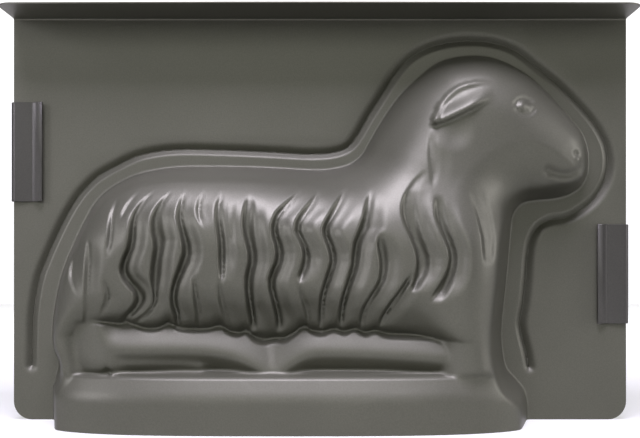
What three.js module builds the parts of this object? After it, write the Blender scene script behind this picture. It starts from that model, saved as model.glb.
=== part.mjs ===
// A lamb cake mould: two pressed sheet halves that meet on the plane y = 0, held together by two clips.
// X runs along the lamb, Y out of the front half towards the back half, Z up. The mould stands on z = 0.

import * as THREE from 'three';

// Plates, in millimetres
const plateWidth = 300;
const mouldHeight = 197;
const sheet = 0.6;
const partingGap = 0.3;
const cornerRadius = 9;

// Flange along the top of each half
const flangeDepth = 31;
const flangeCornerRadius = 7;
const flangeBow = 1.5;
const bendInnerRadius = 1;

// Bead that seals the halves round the lamb
const beadDepth = 2.4;
const beadOuterSlope = 4.4;
const beadInnerSlope = 3.4;
const beadBottomRadius = 0.5;
const beadEdgeShare = 0.08;

// Walls of the relief, and how steep they are
const footFillet = 1.6;
const wallSlopeShare = 3.7;
const wallBlend = 5;

// Lamb
const bodyDepth = 43;
const bodyRounding = 32;
const formReach = 26;
const neckSlopeShare = 2.1;
const neckBlend = 7;
const bellyTuck = 17;
const bellyBlend = 5;
const bellyRelease = 30;
const legBlend = 3;
const legInset = 5;
const legSlopeShare = 1.5;
const legCrownShare = 0.65;
const detailStart = 4;
const detailFull = 11;

// Wool: how far the locks stand out, and the sides, tails and ends of the grooves between them
const lockLift = 3.8;
const neckGroove = 0.9;
const grooveSteepSide = 2.4;
const grooveGentleSide = 3.2;
const grooveTail = 7;
const grooveTailShare = 0.4;
const grooveEnd = 6;
const grooveTailEnd = 18;

// Ear, eye, nostril and mouth
const earLift = 4;
const earSide = 1.8;
const earWidth = 12;
const earRimLift = 1.5;
const earRimWidth = 2.6;
const earShadeDepth = 1.2;
const earShadeRadius = 11;
const eyeLift = 0.9;
const eyeRadius = 3.8;
const pupilDepth = 0.6;
const pupilRadius = 1.8;
const lidDepth = 0.5;
const lidWidth = 1.8;
const nostrilDepth = 1.2;
const nostrilRadius = 1.9;
const mouthDepth = 1.8;
const mouthWidth = 3.2;
const lipLift = 0.8;
const lipRadius = 3;

// Plinth: how far its front stands past the body, and how square its plan is, where 2 would be an ellipse
const plinthProud = 7;
const plinthTop = 25;
const plinthShoulder = 9;
const plinthBlend = 3;
const plinthTopSlopeShare = 1.6;
const plinthSquareness = 3.2;

// Spring clips
const clipLength = 48.5;
const clipStrip = 0.6;
const clipOverhang = 1.2;
const clipReach = 14.6;
const clipCrease = 9.2;
const clipCreaseRadius = 1.3;
const clipBackRadius = 2.4;
const clipFlare = 2.2;
const clipSeatGap = 0.3;
const clipLeftShare = 0.665;
const clipRightShare = 0.362;

// Spacing of the points that the surfaces are drawn through
const lineStep = 3;
const ringStep = 8.8;
const footStep = 7;
const lockStep = 6.6;
const earStep = 4;
const bodySpacing = 6;
const plateSpacing = 22;
const columnSpacing = 12;
const creaseSpacing = 3.2;
const lineSpacing = 1.7;
const crestSpacing = 2.2;
const nearestSpacing = 1.1;
const beadMiddle = 1.8;
const wallEnd = 7.5;
const legFlankShare = 0.9;
const slopeStep = 0.2;
const bendSteps = 3;
const shoulderSteps = 3;
const cornerSteps = 5;
const farShare = 1000;
const closeShare = 1e-12;

// Places below are shares of the plate's width and the mould's height, from the lower left corner.

// Bottom of the sealing bead, from its left end over the back and the head to its right end
const beadShares = [
  [0.028, 0.135], [0.0285, 0.2], [0.03, 0.26], [0.034, 0.31], [0.041, 0.358], [0.055, 0.413],
  [0.072, 0.47], [0.089, 0.52], [0.107, 0.562], [0.134, 0.604], [0.164, 0.631], [0.2, 0.657],
  [0.24, 0.67], [0.28, 0.674], [0.34, 0.672], [0.42, 0.667], [0.49, 0.662], [0.525, 0.667],
  [0.546, 0.68], [0.56, 0.706], [0.58, 0.758], [0.6, 0.806], [0.62, 0.854], [0.643, 0.896],
  [0.67, 0.922], [0.705, 0.939], [0.745, 0.945], [0.785, 0.939], [0.82, 0.92], [0.855, 0.879],
  [0.89, 0.836], [0.924, 0.784], [0.953, 0.73], [0.969, 0.68], [0.972, 0.635], [0.966, 0.592],
  [0.951, 0.553], [0.93, 0.524], [0.905, 0.503], [0.876, 0.495], [0.858, 0.479], [0.847, 0.452],
  [0.841, 0.41], [0.838, 0.35], [0.834, 0.29], [0.8285, 0.238], [0.832, 0.204], [0.838, 0.168],
  [0.842, 0.132],
];

// Foot of the relief's wall on the plate, from the plinth's left side round the lamb to its right side
const footShares = [
  [0.064, -0.03], [0.063, 0.02], [0.062, 0.06], [0.064, 0.095], [0.071, 0.122], [0.072, 0.145],
  [0.065, 0.17], [0.062, 0.2], [0.063, 0.25], [0.068, 0.3], [0.075, 0.35], [0.086, 0.4],
  [0.099, 0.445], [0.115, 0.496], [0.132, 0.54], [0.151, 0.57], [0.171, 0.59], [0.2, 0.611],
  [0.23, 0.622], [0.27, 0.63], [0.32, 0.631], [0.38, 0.63], [0.44, 0.626], [0.49, 0.622],
  [0.52, 0.625], [0.55, 0.638], [0.567, 0.66], [0.58, 0.695], [0.6, 0.747], [0.62, 0.792],
  [0.64, 0.827], [0.66, 0.855], [0.68, 0.88], [0.7, 0.896], [0.725, 0.905], [0.755, 0.908],
  [0.785, 0.901], [0.815, 0.882], [0.84, 0.859], [0.865, 0.826], [0.89, 0.787], [0.912, 0.748],
  [0.93, 0.71], [0.938, 0.675], [0.94, 0.64], [0.937, 0.606], [0.926, 0.576], [0.905, 0.556],
  [0.878, 0.546], [0.85, 0.542], [0.829, 0.534], [0.817, 0.51], [0.813, 0.47], [0.81, 0.42],
  [0.806, 0.35], [0.801, 0.28], [0.798, 0.22], [0.8, 0.17], [0.806, 0.13], [0.82, 0.105],
  [0.835, 0.075], [0.84, 0.04], [0.84, -0.03],
];

// The figure at points on it: x, z, share of the body's depth, share of its rounding, and how far its sides
// are straight slopes with a shoulder instead of round
const formShares = [
  [0.11, 0.3, 0.86, 0.9, 0], [0.2, 0.42, 0.95, 1, 0], [0.35, 0.4, 1, 1, 0], [0.5, 0.4, 1, 1, 0],
  [0.64, 0.42, 0.98, 1, 0], [0.66, 0.6, 0.84, 0.75, 0.8], [0.73, 0.38, 0.92, 0.8, 0],
  [0.76, 0.22, 0.9, 0.75, 0], [0.68, 0.76, 0.68, 0.5, 1], [0.76, 0.72, 0.68, 0.5, 1],
  [0.8, 0.8, 0.62, 0.42, 1], [0.86, 0.7, 0.56, 0.4, 0.6], [0.915, 0.63, 0.47, 0.36, 0],
];

// The belly rolls in below its middle towards a line that the legs hide
const bellyMiddleShare = 0.46;
const bellyLineShare = 0.215;
const bellyStartShare = 0.14;
const bellyEndShare = 0.66;
const bellyFadeShare = 0.12;

// Legs and tail: centre lines, then radius and height of the crown as shares of the body's depth
const legShares = [
  { line: [[0.17, 0.205], [0.24, 0.203], [0.3, 0.203], [0.34, 0.197], [0.375, 0.182], [0.405, 0.16],
    [0.428, 0.135]], radius: 0.2, crown: 1.0 },
  { line: [[0.2, 0.163], [0.26, 0.163], [0.3, 0.16], [0.318, 0.155]], radius: 0.19, crown: 0.95 },
  { line: [[0.442, 0.145], [0.46, 0.17], [0.485, 0.192], [0.525, 0.195]], radius: 0.19, crown: 1.03 },
  { line: [[0.52, 0.195], [0.58, 0.188], [0.65, 0.182], [0.72, 0.17], [0.745, 0.16]],
    radius: 0.25, crown: 1.01 },
  { line: [[0.142, 0.27], [0.15, 0.235], [0.162, 0.2], [0.172, 0.17]], radius: 0.13, crown: 0.93 },
];

// Heights where the locks of wool start, stand out most and end, and how much stands out at their ends
const woolTopShare = 0.6;
const woolMiddleShare = 0.42;
const woolBottomShare = 0.27;
const lockEndShare = 0.6;

// Grooves between the locks: share of the full depth, then from the top down z, left edge and right edge
const grooveShares = [
  { share: 0.9, rows: [[0.46, 0.133, 0.141], [0.43, 0.124, 0.134], [0.4, 0.119, 0.13],
    [0.37, 0.119, 0.13], [0.35, 0.121, 0.131], [0.33, 0.128, 0.137], [0.31, 0.136, 0.144]] },
  { share: 0.8, rows: [[0.45, 0.148, 0.158], [0.42, 0.148, 0.159], [0.38, 0.148, 0.159],
    [0.34, 0.147, 0.158], [0.31, 0.147, 0.157], [0.28, 0.145, 0.155], [0.25, 0.142, 0.151],
    [0.225, 0.135, 0.145]] },
  { share: 0.7, rows: [[0.565, 0.229, 0.239], [0.54, 0.213, 0.227], [0.52, 0.205, 0.218],
    [0.5, 0.2, 0.212], [0.475, 0.198, 0.208]] },
  { share: 1, rows: [[0.565, 0.253, 0.265], [0.54, 0.234, 0.248], [0.52, 0.224, 0.238],
    [0.5, 0.218, 0.231], [0.48, 0.216, 0.229], [0.46, 0.215, 0.229], [0.44, 0.214, 0.228],
    [0.42, 0.211, 0.225], [0.4, 0.205, 0.22], [0.38, 0.201, 0.217], [0.365, 0.201, 0.218],
    [0.35, 0.205, 0.226], [0.335, 0.213, 0.236], [0.32, 0.221, 0.243], [0.305, 0.223, 0.243],
    [0.29, 0.218, 0.238], [0.275, 0.208, 0.23], [0.26, 0.197, 0.219], [0.245, 0.19, 0.203]] },
  { share: 1, rows: [[0.565, 0.277, 0.287], [0.53, 0.258, 0.272], [0.51, 0.251, 0.268],
    [0.495, 0.248, 0.267], [0.48, 0.247, 0.268], [0.46, 0.248, 0.27], [0.44, 0.251, 0.273],
    [0.42, 0.252, 0.271], [0.4, 0.25, 0.268], [0.38, 0.248, 0.267], [0.36, 0.247, 0.266],
    [0.34, 0.247, 0.264], [0.32, 0.248, 0.262], [0.3, 0.247, 0.26], [0.285, 0.241, 0.255],
    [0.27, 0.231, 0.247], [0.255, 0.218, 0.235], [0.24, 0.208, 0.223]] },
  { share: 1, rows: [[0.565, 0.296, 0.304], [0.53, 0.288, 0.3], [0.51, 0.286, 0.299],
    [0.49, 0.286, 0.3], [0.47, 0.289, 0.303], [0.45, 0.292, 0.307], [0.43, 0.295, 0.311],
    [0.41, 0.295, 0.312], [0.39, 0.291, 0.309], [0.37, 0.286, 0.303], [0.35, 0.281, 0.297],
    [0.33, 0.277, 0.293], [0.31, 0.275, 0.29], [0.29, 0.276, 0.29], [0.27, 0.279, 0.292],
    [0.25, 0.28, 0.292], [0.225, 0.277, 0.29]] },
  { share: 0.8, rows: [[0.57, 0.327, 0.334], [0.53, 0.315, 0.326], [0.51, 0.314, 0.325],
    [0.495, 0.316, 0.327], [0.48, 0.321, 0.33], [0.46, 0.327, 0.333]] },
  { share: 0.8, rows: [[0.56, 0.35, 0.36], [0.52, 0.343, 0.357], [0.5, 0.343, 0.358],
    [0.48, 0.344, 0.36], [0.46, 0.346, 0.361], [0.44, 0.348, 0.363], [0.42, 0.349, 0.363],
    [0.4, 0.349, 0.363], [0.37, 0.35, 0.363], [0.335, 0.352, 0.362]] },
  { share: 1, rows: [[0.55, 0.39, 0.404], [0.515, 0.385, 0.406], [0.49, 0.383, 0.405],
    [0.47, 0.383, 0.405], [0.45, 0.386, 0.406], [0.43, 0.39, 0.408], [0.41, 0.393, 0.41],
    [0.39, 0.393, 0.41], [0.37, 0.39, 0.407], [0.355, 0.388, 0.405], [0.33, 0.388, 0.404],
    [0.3, 0.39, 0.404], [0.27, 0.392, 0.406], [0.25, 0.393, 0.408], [0.225, 0.39, 0.41]] },
  { share: 1, rows: [[0.575, 0.477, 0.489], [0.555, 0.464, 0.478], [0.54, 0.455, 0.47],
    [0.52, 0.442, 0.458], [0.505, 0.434, 0.45], [0.49, 0.43, 0.443], [0.47, 0.427, 0.441],
    [0.45, 0.428, 0.443], [0.43, 0.432, 0.448], [0.41, 0.434, 0.45], [0.39, 0.432, 0.448],
    [0.37, 0.426, 0.443], [0.35, 0.422, 0.438], [0.33, 0.423, 0.437], [0.3, 0.428, 0.441],
    [0.27, 0.432, 0.446], [0.25, 0.433, 0.448], [0.225, 0.431, 0.449]] },
  { share: 0.9, rows: [[0.57, 0.501, 0.512], [0.545, 0.489, 0.504], [0.525, 0.48, 0.499],
    [0.51, 0.473, 0.493], [0.495, 0.467, 0.483], [0.48, 0.463, 0.477], [0.46, 0.462, 0.476],
    [0.44, 0.468, 0.481], [0.42, 0.473, 0.487], [0.4, 0.474, 0.49], [0.38, 0.471, 0.489],
    [0.36, 0.466, 0.484], [0.335, 0.465, 0.478]] },
  { share: 1, rows: [[0.575, 0.541, 0.553], [0.55, 0.53, 0.546], [0.53, 0.523, 0.541],
    [0.51, 0.516, 0.534], [0.495, 0.511, 0.528], [0.48, 0.506, 0.522], [0.465, 0.503, 0.518],
    [0.45, 0.504, 0.519], [0.43, 0.509, 0.524], [0.41, 0.513, 0.528], [0.39, 0.514, 0.528],
    [0.37, 0.51, 0.524], [0.35, 0.506, 0.52], [0.33, 0.502, 0.515], [0.31, 0.499, 0.511],
    [0.28, 0.497, 0.509], [0.25, 0.497, 0.509], [0.23, 0.498, 0.509]] },
  { share: 1, rows: [[0.565, 0.575, 0.59], [0.53, 0.568, 0.585], [0.51, 0.566, 0.583],
    [0.49, 0.563, 0.581], [0.47, 0.558, 0.579], [0.455, 0.554, 0.573], [0.435, 0.549, 0.567],
    [0.415, 0.547, 0.564], [0.4, 0.546, 0.563], [0.38, 0.545, 0.561], [0.36, 0.541, 0.557],
    [0.34, 0.537, 0.552], [0.32, 0.533, 0.547], [0.3, 0.53, 0.544], [0.28, 0.528, 0.541],
    [0.26, 0.527, 0.541], [0.235, 0.529, 0.542]] },
  { share: 0.8, rows: [[0.46, 0.585, 0.6], [0.43, 0.583, 0.603], [0.41, 0.586, 0.605],
    [0.39, 0.588, 0.606], [0.37, 0.588, 0.605], [0.35, 0.586, 0.602], [0.33, 0.579, 0.595],
    [0.31, 0.571, 0.586], [0.29, 0.564, 0.577], [0.27, 0.56, 0.572], [0.25, 0.559, 0.571],
    [0.23, 0.56, 0.571]] },
  { share: 0.9, rows: [[0.37, 0.633, 0.647], [0.34, 0.622, 0.638], [0.32, 0.613, 0.628],
    [0.3, 0.604, 0.619], [0.28, 0.596, 0.61], [0.26, 0.59, 0.603], [0.235, 0.586, 0.598]] },
  { share: 1, rows: [[0.61, 0.66, 0.674], [0.58, 0.64, 0.66], [0.56, 0.631, 0.653],
    [0.54, 0.625, 0.65], [0.52, 0.622, 0.649], [0.5, 0.622, 0.65], [0.48, 0.625, 0.652],
    [0.46, 0.63, 0.655], [0.44, 0.635, 0.659], [0.42, 0.64, 0.664], [0.4, 0.643, 0.668],
    [0.38, 0.643, 0.668], [0.36, 0.64, 0.663], [0.34, 0.635, 0.655], [0.31, 0.628, 0.643]] },
  { share: 0.9, rows: [[0.7, 0.668, 0.684], [0.67, 0.664, 0.682], [0.64, 0.664, 0.686],
    [0.62, 0.665, 0.687], [0.6, 0.666, 0.685], [0.58, 0.666, 0.681], [0.555, 0.665, 0.676]] },
  { share: 0.9, rows: [[0.55, 0.673, 0.692], [0.52, 0.672, 0.692], [0.5, 0.672, 0.693],
    [0.48, 0.675, 0.695], [0.46, 0.68, 0.699], [0.44, 0.685, 0.704], [0.42, 0.69, 0.708],
    [0.4, 0.692, 0.71], [0.38, 0.69, 0.709], [0.36, 0.685, 0.706], [0.34, 0.677, 0.701],
    [0.32, 0.668, 0.694], [0.295, 0.66, 0.685]] },
];

// Ear: its lower edge and its upper rim, both from the tip to the head, and where it joins the head
const earEdgeShares = [
  [0.673, 0.712], [0.684, 0.711], [0.697, 0.718], [0.712, 0.728], [0.728, 0.74], [0.744, 0.752],
  [0.762, 0.765], [0.78, 0.775],
];
const earRimShares = [
  [0.673, 0.712], [0.676, 0.735], [0.683, 0.758], [0.692, 0.779], [0.704, 0.797], [0.719, 0.811],
  [0.738, 0.819], [0.76, 0.823], [0.78, 0.824],
];
const earBaseStartShare = 0.73;
const earBaseEndShare = 0.772;
const earShadeShares = [0.705, 0.7];

// Face
const eyeShares = [0.818, 0.762];
const pupilShares = [0.821, 0.752];
const upperLidShares = [[0.804, 0.764], [0.81, 0.775], [0.82, 0.78], [0.831, 0.775]];
const lowerLidShares = [[0.807, 0.75], [0.817, 0.742], [0.828, 0.744], [0.834, 0.753]];
const nostrilShares = [0.903, 0.651];
const nostrilRimShares = [0.906, 0.636];
const mouthShares = [
  [0.858, 0.61], [0.868, 0.603], [0.88, 0.599], [0.892, 0.6], [0.904, 0.607], [0.915, 0.617],
];
const lipShares = [[0.868, 0.592], [0.884, 0.586], [0.902, 0.586]];

// A place on the plate from its shares
function at([xShare, zShare]) {
  return [(xShare - 0.5) * plateWidth, zShare * mouldHeight];
}

// Points at even steps along a smooth curve through the given shares
function smoothLine(shares, step) {
  const through = shares.map((pair) => new THREE.Vector3(...at(pair), 0));
  const curve = new THREE.CatmullRomCurve3(through, false, 'centripetal');
  const steps = Math.max(2, Math.round(curve.getLength() / step));
  return curve.getSpacedPoints(steps).map((point) => [point.x, point.y]);
}

// Distance from a point to a polyline, the side it lies on and how far along it the nearest place is
function nearest(x, z, line) {
  let best = { distance: Infinity, side: 1, along: 0 };
  for (let i = 0; i + 1 < line.length; i += 1) {
    const [ax, az] = line[i];
    const dx = line[i + 1][0] - ax;
    const dz = line[i + 1][1] - az;
    const share = Math.min(1, Math.max(0, ((x - ax) * dx + (z - az) * dz) / (dx * dx + dz * dz)));
    const distance = Math.hypot(x - ax - dx * share, z - az - dz * share);
    if (distance < best.distance) {
      const side = dx * (z - az) - dz * (x - ax) < 0 ? 1 : -1;
      best = { distance, side, along: (i + share) / (line.length - 1) };
    }
  }
  return best;
}

function isInside(x, z, outline) {
  let inside = false;
  for (let i = 0, j = outline.length - 1; i < outline.length; j = i, i += 1) {
    const [ax, az] = outline[i];
    const [bx, bz] = outline[j];
    if (az > z !== bz > z && x < ((bx - ax) * (z - az)) / (bz - az) + ax) inside = !inside;
  }
  return inside;
}

function smoothStep(value, start, end) {
  const share = Math.min(1, Math.max(0, (value - start) / (end - start)));
  return share * share * (3 - 2 * share);
}

function smoothMax(a, b, blend) {
  const share = Math.min(1, Math.max(0, 0.5 + (a - b) / (2 * blend)));
  return b + (a - b) * share + blend * share * (1 - share);
}

function smoothMin(a, b, blend) {
  return -smoothMax(-a, -b, blend);
}

// A rounded groove or bump across a line or round a point: 1 on it, 0 at its width
function bump(distance, width) {
  const share = Math.min(1, distance / width);
  return (1 - share * share) ** 2;
}

const beadLine = smoothLine(beadShares, lineStep);
const footLine = smoothLine(footShares, lineStep);
const grooves = grooveShares.map(({ share, rows }) => {
  const places = rows.map(([zShare, leftShare, rightShare]) => {
    const [left, z] = at([leftShare, zShare]);
    const [right] = at([rightShare, zShare]);
    return { z, left, right };
  });
  places.reverse();
  for (let i = 0; i < places.length; i += 1) {
    const below = places[Math.max(0, i - 1)];
    const above = places[Math.min(places.length - 1, i + 1)];
    places[i].lean = (above.left + above.right - below.left - below.right) / (2 * (above.z - below.z));
  }
  return { share, places };
});
const legs = legShares.map(({ line, radius, crown }) => ({
  line: smoothLine(line, lineStep),
  radius: radius * bodyDepth,
  crown: crown * bodyDepth,
}));
const plinthDepth = bodyDepth + plinthProud;
const earEdge = smoothLine(earEdgeShares, lineStep);
const earRim = smoothLine(earRimShares, lineStep);
const earOutline = [...earEdge, ...[...earRim].reverse()];
const [earBaseStart] = at([earBaseStartShare, 0]);
const [earBaseEnd] = at([earBaseEndShare, 0]);
const upperLid = smoothLine(upperLidShares, lineStep);
const lowerLid = smoothLine(lowerLidShares, lineStep);
const mouth = smoothLine(mouthShares, lineStep);
const lip = smoothLine(lipShares, lineStep);

// Depth of the sealing bead, pressed towards the back half
function beadHeight(x, z) {
  const { distance, side, along } = nearest(x, z, beadLine);
  const isPastEnd = along === 0 || along === 1;
  const isInner = side > 0 && !isPastEnd;
  const slope = isInner ? beadInnerSlope : beadOuterSlope;
  const rounded = Math.hypot(distance, beadBottomRadius) - beadBottomRadius;
  const reach = Math.hypot(slope, beadBottomRadius) - beadBottomRadius;
  const share = Math.min(1, rounded / reach);
  if (isInner) return beadDepth * smoothMax(1 - share, 0, beadEdgeShare);
  return beadDepth * (1 - Math.sin((Math.PI / 2) * share));
}

// The figure's depth, rounding and straightness, mixed from the forms near the point
function formAt(x, z) {
  let total = 0;
  let depth = 0;
  let rounding = 0;
  let straight = 0;
  for (const [xShare, zShare, depthShare, roundingShare, straightShare] of formShares) {
    const [formX, formZ] = at([xShare, zShare]);
    const weight = Math.exp(-((x - formX) ** 2 + (z - formZ) ** 2) / (2 * formReach * formReach));
    total += weight;
    depth += weight * depthShare * bodyDepth;
    rounding += weight * roundingShare * bodyRounding;
    straight += weight * straightShare;
  }
  return { depth: depth / total, rounding: rounding / total, straight: straight / total };
}

// Upper limit of the body where the belly rolls in over the legs
function bellyLimit(x, z) {
  const middle = bellyMiddleShare * mouldHeight;
  const drop = Math.min(1, (middle - z) / (middle - bellyLineShare * mouldHeight));
  if (drop <= 0) return bodyDepth + bellyRelease;
  const xShare = x / plateWidth + 0.5;
  const released = smoothStep(xShare, bellyEndShare, bellyEndShare + bellyFadeShare)
    + smoothStep(xShare, bellyStartShare, bellyStartShare - bellyFadeShare);
  return bodyDepth - bellyTuck * drop * drop + bellyRelease * (released + (1 - drop) ** 2);
}

function legHeight(x, z) {
  let height = 0;
  for (const { line, radius, crown } of legs) {
    const { distance } = nearest(x, z, line);
    const fall = legSlopeShare * (Math.hypot(distance / radius, legCrownShare) - legCrownShare);
    height = smoothMax(height, crown - radius * fall, legBlend);
  }
  return height;
}

// Depth of the plinth's plan at x, drawn in on every side by an inset
function planDepth(x, inset) {
  const left = at(footShares[0])[0];
  const right = at(footShares[footShares.length - 1])[0];
  const half = (right - left) / 2 - inset;
  const share = Math.abs(x - (left + right) / 2) / half;
  if (half <= 0 || share >= 1) return 0;
  return Math.max(0, (plinthDepth - inset) * (1 - share ** plinthSquareness) ** (1 / plinthSquareness));
}

// The plinth: its plan drawn in by the shoulder near its top
function plinthHeight(x, z) {
  const above = z - (plinthTop - plinthShoulder);
  let inset = 0;
  if (above > 0) {
    const rise = Math.min(above, plinthShoulder);
    inset = plinthShoulder - Math.sqrt(plinthShoulder ** 2 - rise ** 2);
    inset += plinthTopSlopeShare * (above - rise);
  }
  return planDepth(x, inset);
}

// A groove's left edge, right edge or lean at a height, from its places in rising order
function between(z, places, key) {
  const next = places.findIndex((place) => place.z > z);
  const share = (z - places[next - 1].z) / (places[next].z - places[next - 1].z);
  return places[next - 1][key] + share * (places[next][key] - places[next - 1][key]);
}

// Depth of one groove from 0 to 1: it falls steeply at its left edge and rises gently at its right
function grooveDepth(x, z, places) {
  const fromBottom = z - places[0].z;
  const fromTop = places[places.length - 1].z - z;
  if (fromBottom <= 0 || fromTop <= 0) return 0;
  const upright = 1 / Math.hypot(1, between(z, places, 'lean'));
  const pastLeft = (x - between(z, places, 'left')) * upright;
  const beforeRight = (between(z, places, 'right') - x) * upright;
  const fromEnd = Math.min(fromBottom, fromTop);
  const floor = smoothStep(beforeRight, 0, grooveGentleSide) * smoothStep(fromEnd, 0, grooveEnd);
  const tail = smoothStep(beforeRight, -grooveTail, 0) * smoothStep(fromEnd, 0, grooveTailEnd);
  const depth = (1 - grooveTailShare) * floor + grooveTailShare * tail;
  return smoothStep(pastLeft, 0, grooveSteepSide) * depth;
}

// Height of the locks over the grooves' floors: they swell from their tops to their middles
function woolHeight(z) {
  const share = z / mouldHeight;
  const swell = smoothStep(share, woolTopShare, woolMiddleShare);
  const fall = smoothStep(share, woolBottomShare, woolMiddleShare);
  return lockLift * swell * (lockEndShare + (1 - lockEndShare) * fall);
}

// Height of the ear over the head, most along its lower edge, with a rim along its upper one
function earHeight(x, z) {
  if (!isInside(x, z, earOutline)) return 0;
  const fromEdge = nearest(x, z, earEdge).distance;
  const fromRim = nearest(x, z, earRim).distance;
  const lobe = earLift * smoothStep(fromEdge, 0, earSide) * (1 - smoothStep(fromEdge, earSide, earWidth));
  const rim = earRimLift * bump(Math.abs(fromRim - earRimWidth / 2), earRimWidth);
  return (lobe + rim) * smoothStep(x, earBaseEnd, earBaseStart);
}

// Wool, ear and face, added to the smooth figure
function detailHeight(x, z) {
  let groove = 0;
  for (const { share, places } of grooves) groove = Math.max(groove, share * grooveDepth(x, z, places));
  const wool = woolHeight(z);
  let height = wool - groove * Math.max(wool, neckGroove) + earHeight(x, z);
  const near = (shares) => {
    const [px, pz] = at(shares);
    return Math.hypot(x - px, z - pz);
  };
  height -= earShadeDepth * bump(near(earShadeShares), earShadeRadius);
  height += eyeLift * bump(near(eyeShares), eyeRadius);
  height -= pupilDepth * bump(near(pupilShares), pupilRadius);
  height -= lidDepth * bump(nearest(x, z, upperLid).distance, lidWidth);
  height -= lidDepth * bump(nearest(x, z, lowerLid).distance, lidWidth);
  height -= nostrilDepth * bump(near(nostrilShares), nostrilRadius);
  height += lipLift * bump(near(nostrilRimShares), nostrilRadius);
  height -= mouthDepth * bump(nearest(x, z, mouth).distance, mouthWidth);
  height += lipLift * bump(nearest(x, z, lip).distance, lipRadius);
  return height;
}

// Height of the relief above the plate
function reliefHeight(x, z) {
  if (!isInside(x, z, footLine)) return 0;
  const inward = nearest(x, z, footLine).distance;
  const { depth, rounding, straight } = formAt(x, z);
  const drop = 1 - Math.min(1, inward / rounding);
  const dome = depth * Math.sqrt(1 - drop * drop);
  const slope = smoothMin(inward * neckSlopeShare, depth, neckBlend);
  let figure = smoothMin(dome + straight * (slope - dome), bellyLimit(x, z), bellyBlend);
  const leg = smoothMin(legHeight(x, z), planDepth(x, legInset), legBlend);
  figure = smoothMax(figure, leg, legBlend);
  figure += detailHeight(x, z) * smoothStep(inward, detailStart, detailFull);
  const whole = smoothMax(figure, plinthHeight(x, z), plinthBlend);
  const foot = Math.min(inward, footFillet);
  const wall = wallSlopeShare * (foot * foot / (2 * footFillet) + inward - foot);
  return Math.max(0, Math.min(wall, smoothMin(whole, wall, wallBlend)));
}

// Slopes of a height along x and along z
function slopes(height, x, z) {
  return [
    (height(x + slopeStep, z) - height(x - slopeStep, z)) / (2 * slopeStep),
    (height(x, z + slopeStep) - height(x, z - slopeStep)) / (2 * slopeStep),
  ];
}

// Columns of points across the flange and the plate's upper edge, closer at the rounded corners
function flangeColumns() {
  const columns = [];
  const straight = plateWidth / 2 - flangeCornerRadius;
  const count = Math.round((2 * straight) / columnSpacing);
  for (let i = 0; i <= count; i += 1) columns.push(-straight + (2 * straight * i) / count);
  for (let i = 1; i <= cornerSteps; i += 1) {
    const out = flangeCornerRadius * Math.sin((Math.PI / 2) * (i / cornerSteps));
    columns.push(straight + out);
    columns.unshift(-straight - out);
  }
  return columns;
}

// How far the flange reaches from the bend at x: bowed along its front, rounded at its corners
function flangeReach(x) {
  const half = plateWidth / 2;
  const past = Math.max(0, Math.abs(x) - (half - flangeCornerRadius));
  const corner = flangeCornerRadius - Math.sqrt(flangeCornerRadius ** 2 - past ** 2);
  const bow = flangeBow * (x / half) ** 2;
  return flangeDepth - partingGap / 2 - sheet - bendInnerRadius - bow - corner;
}

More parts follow.
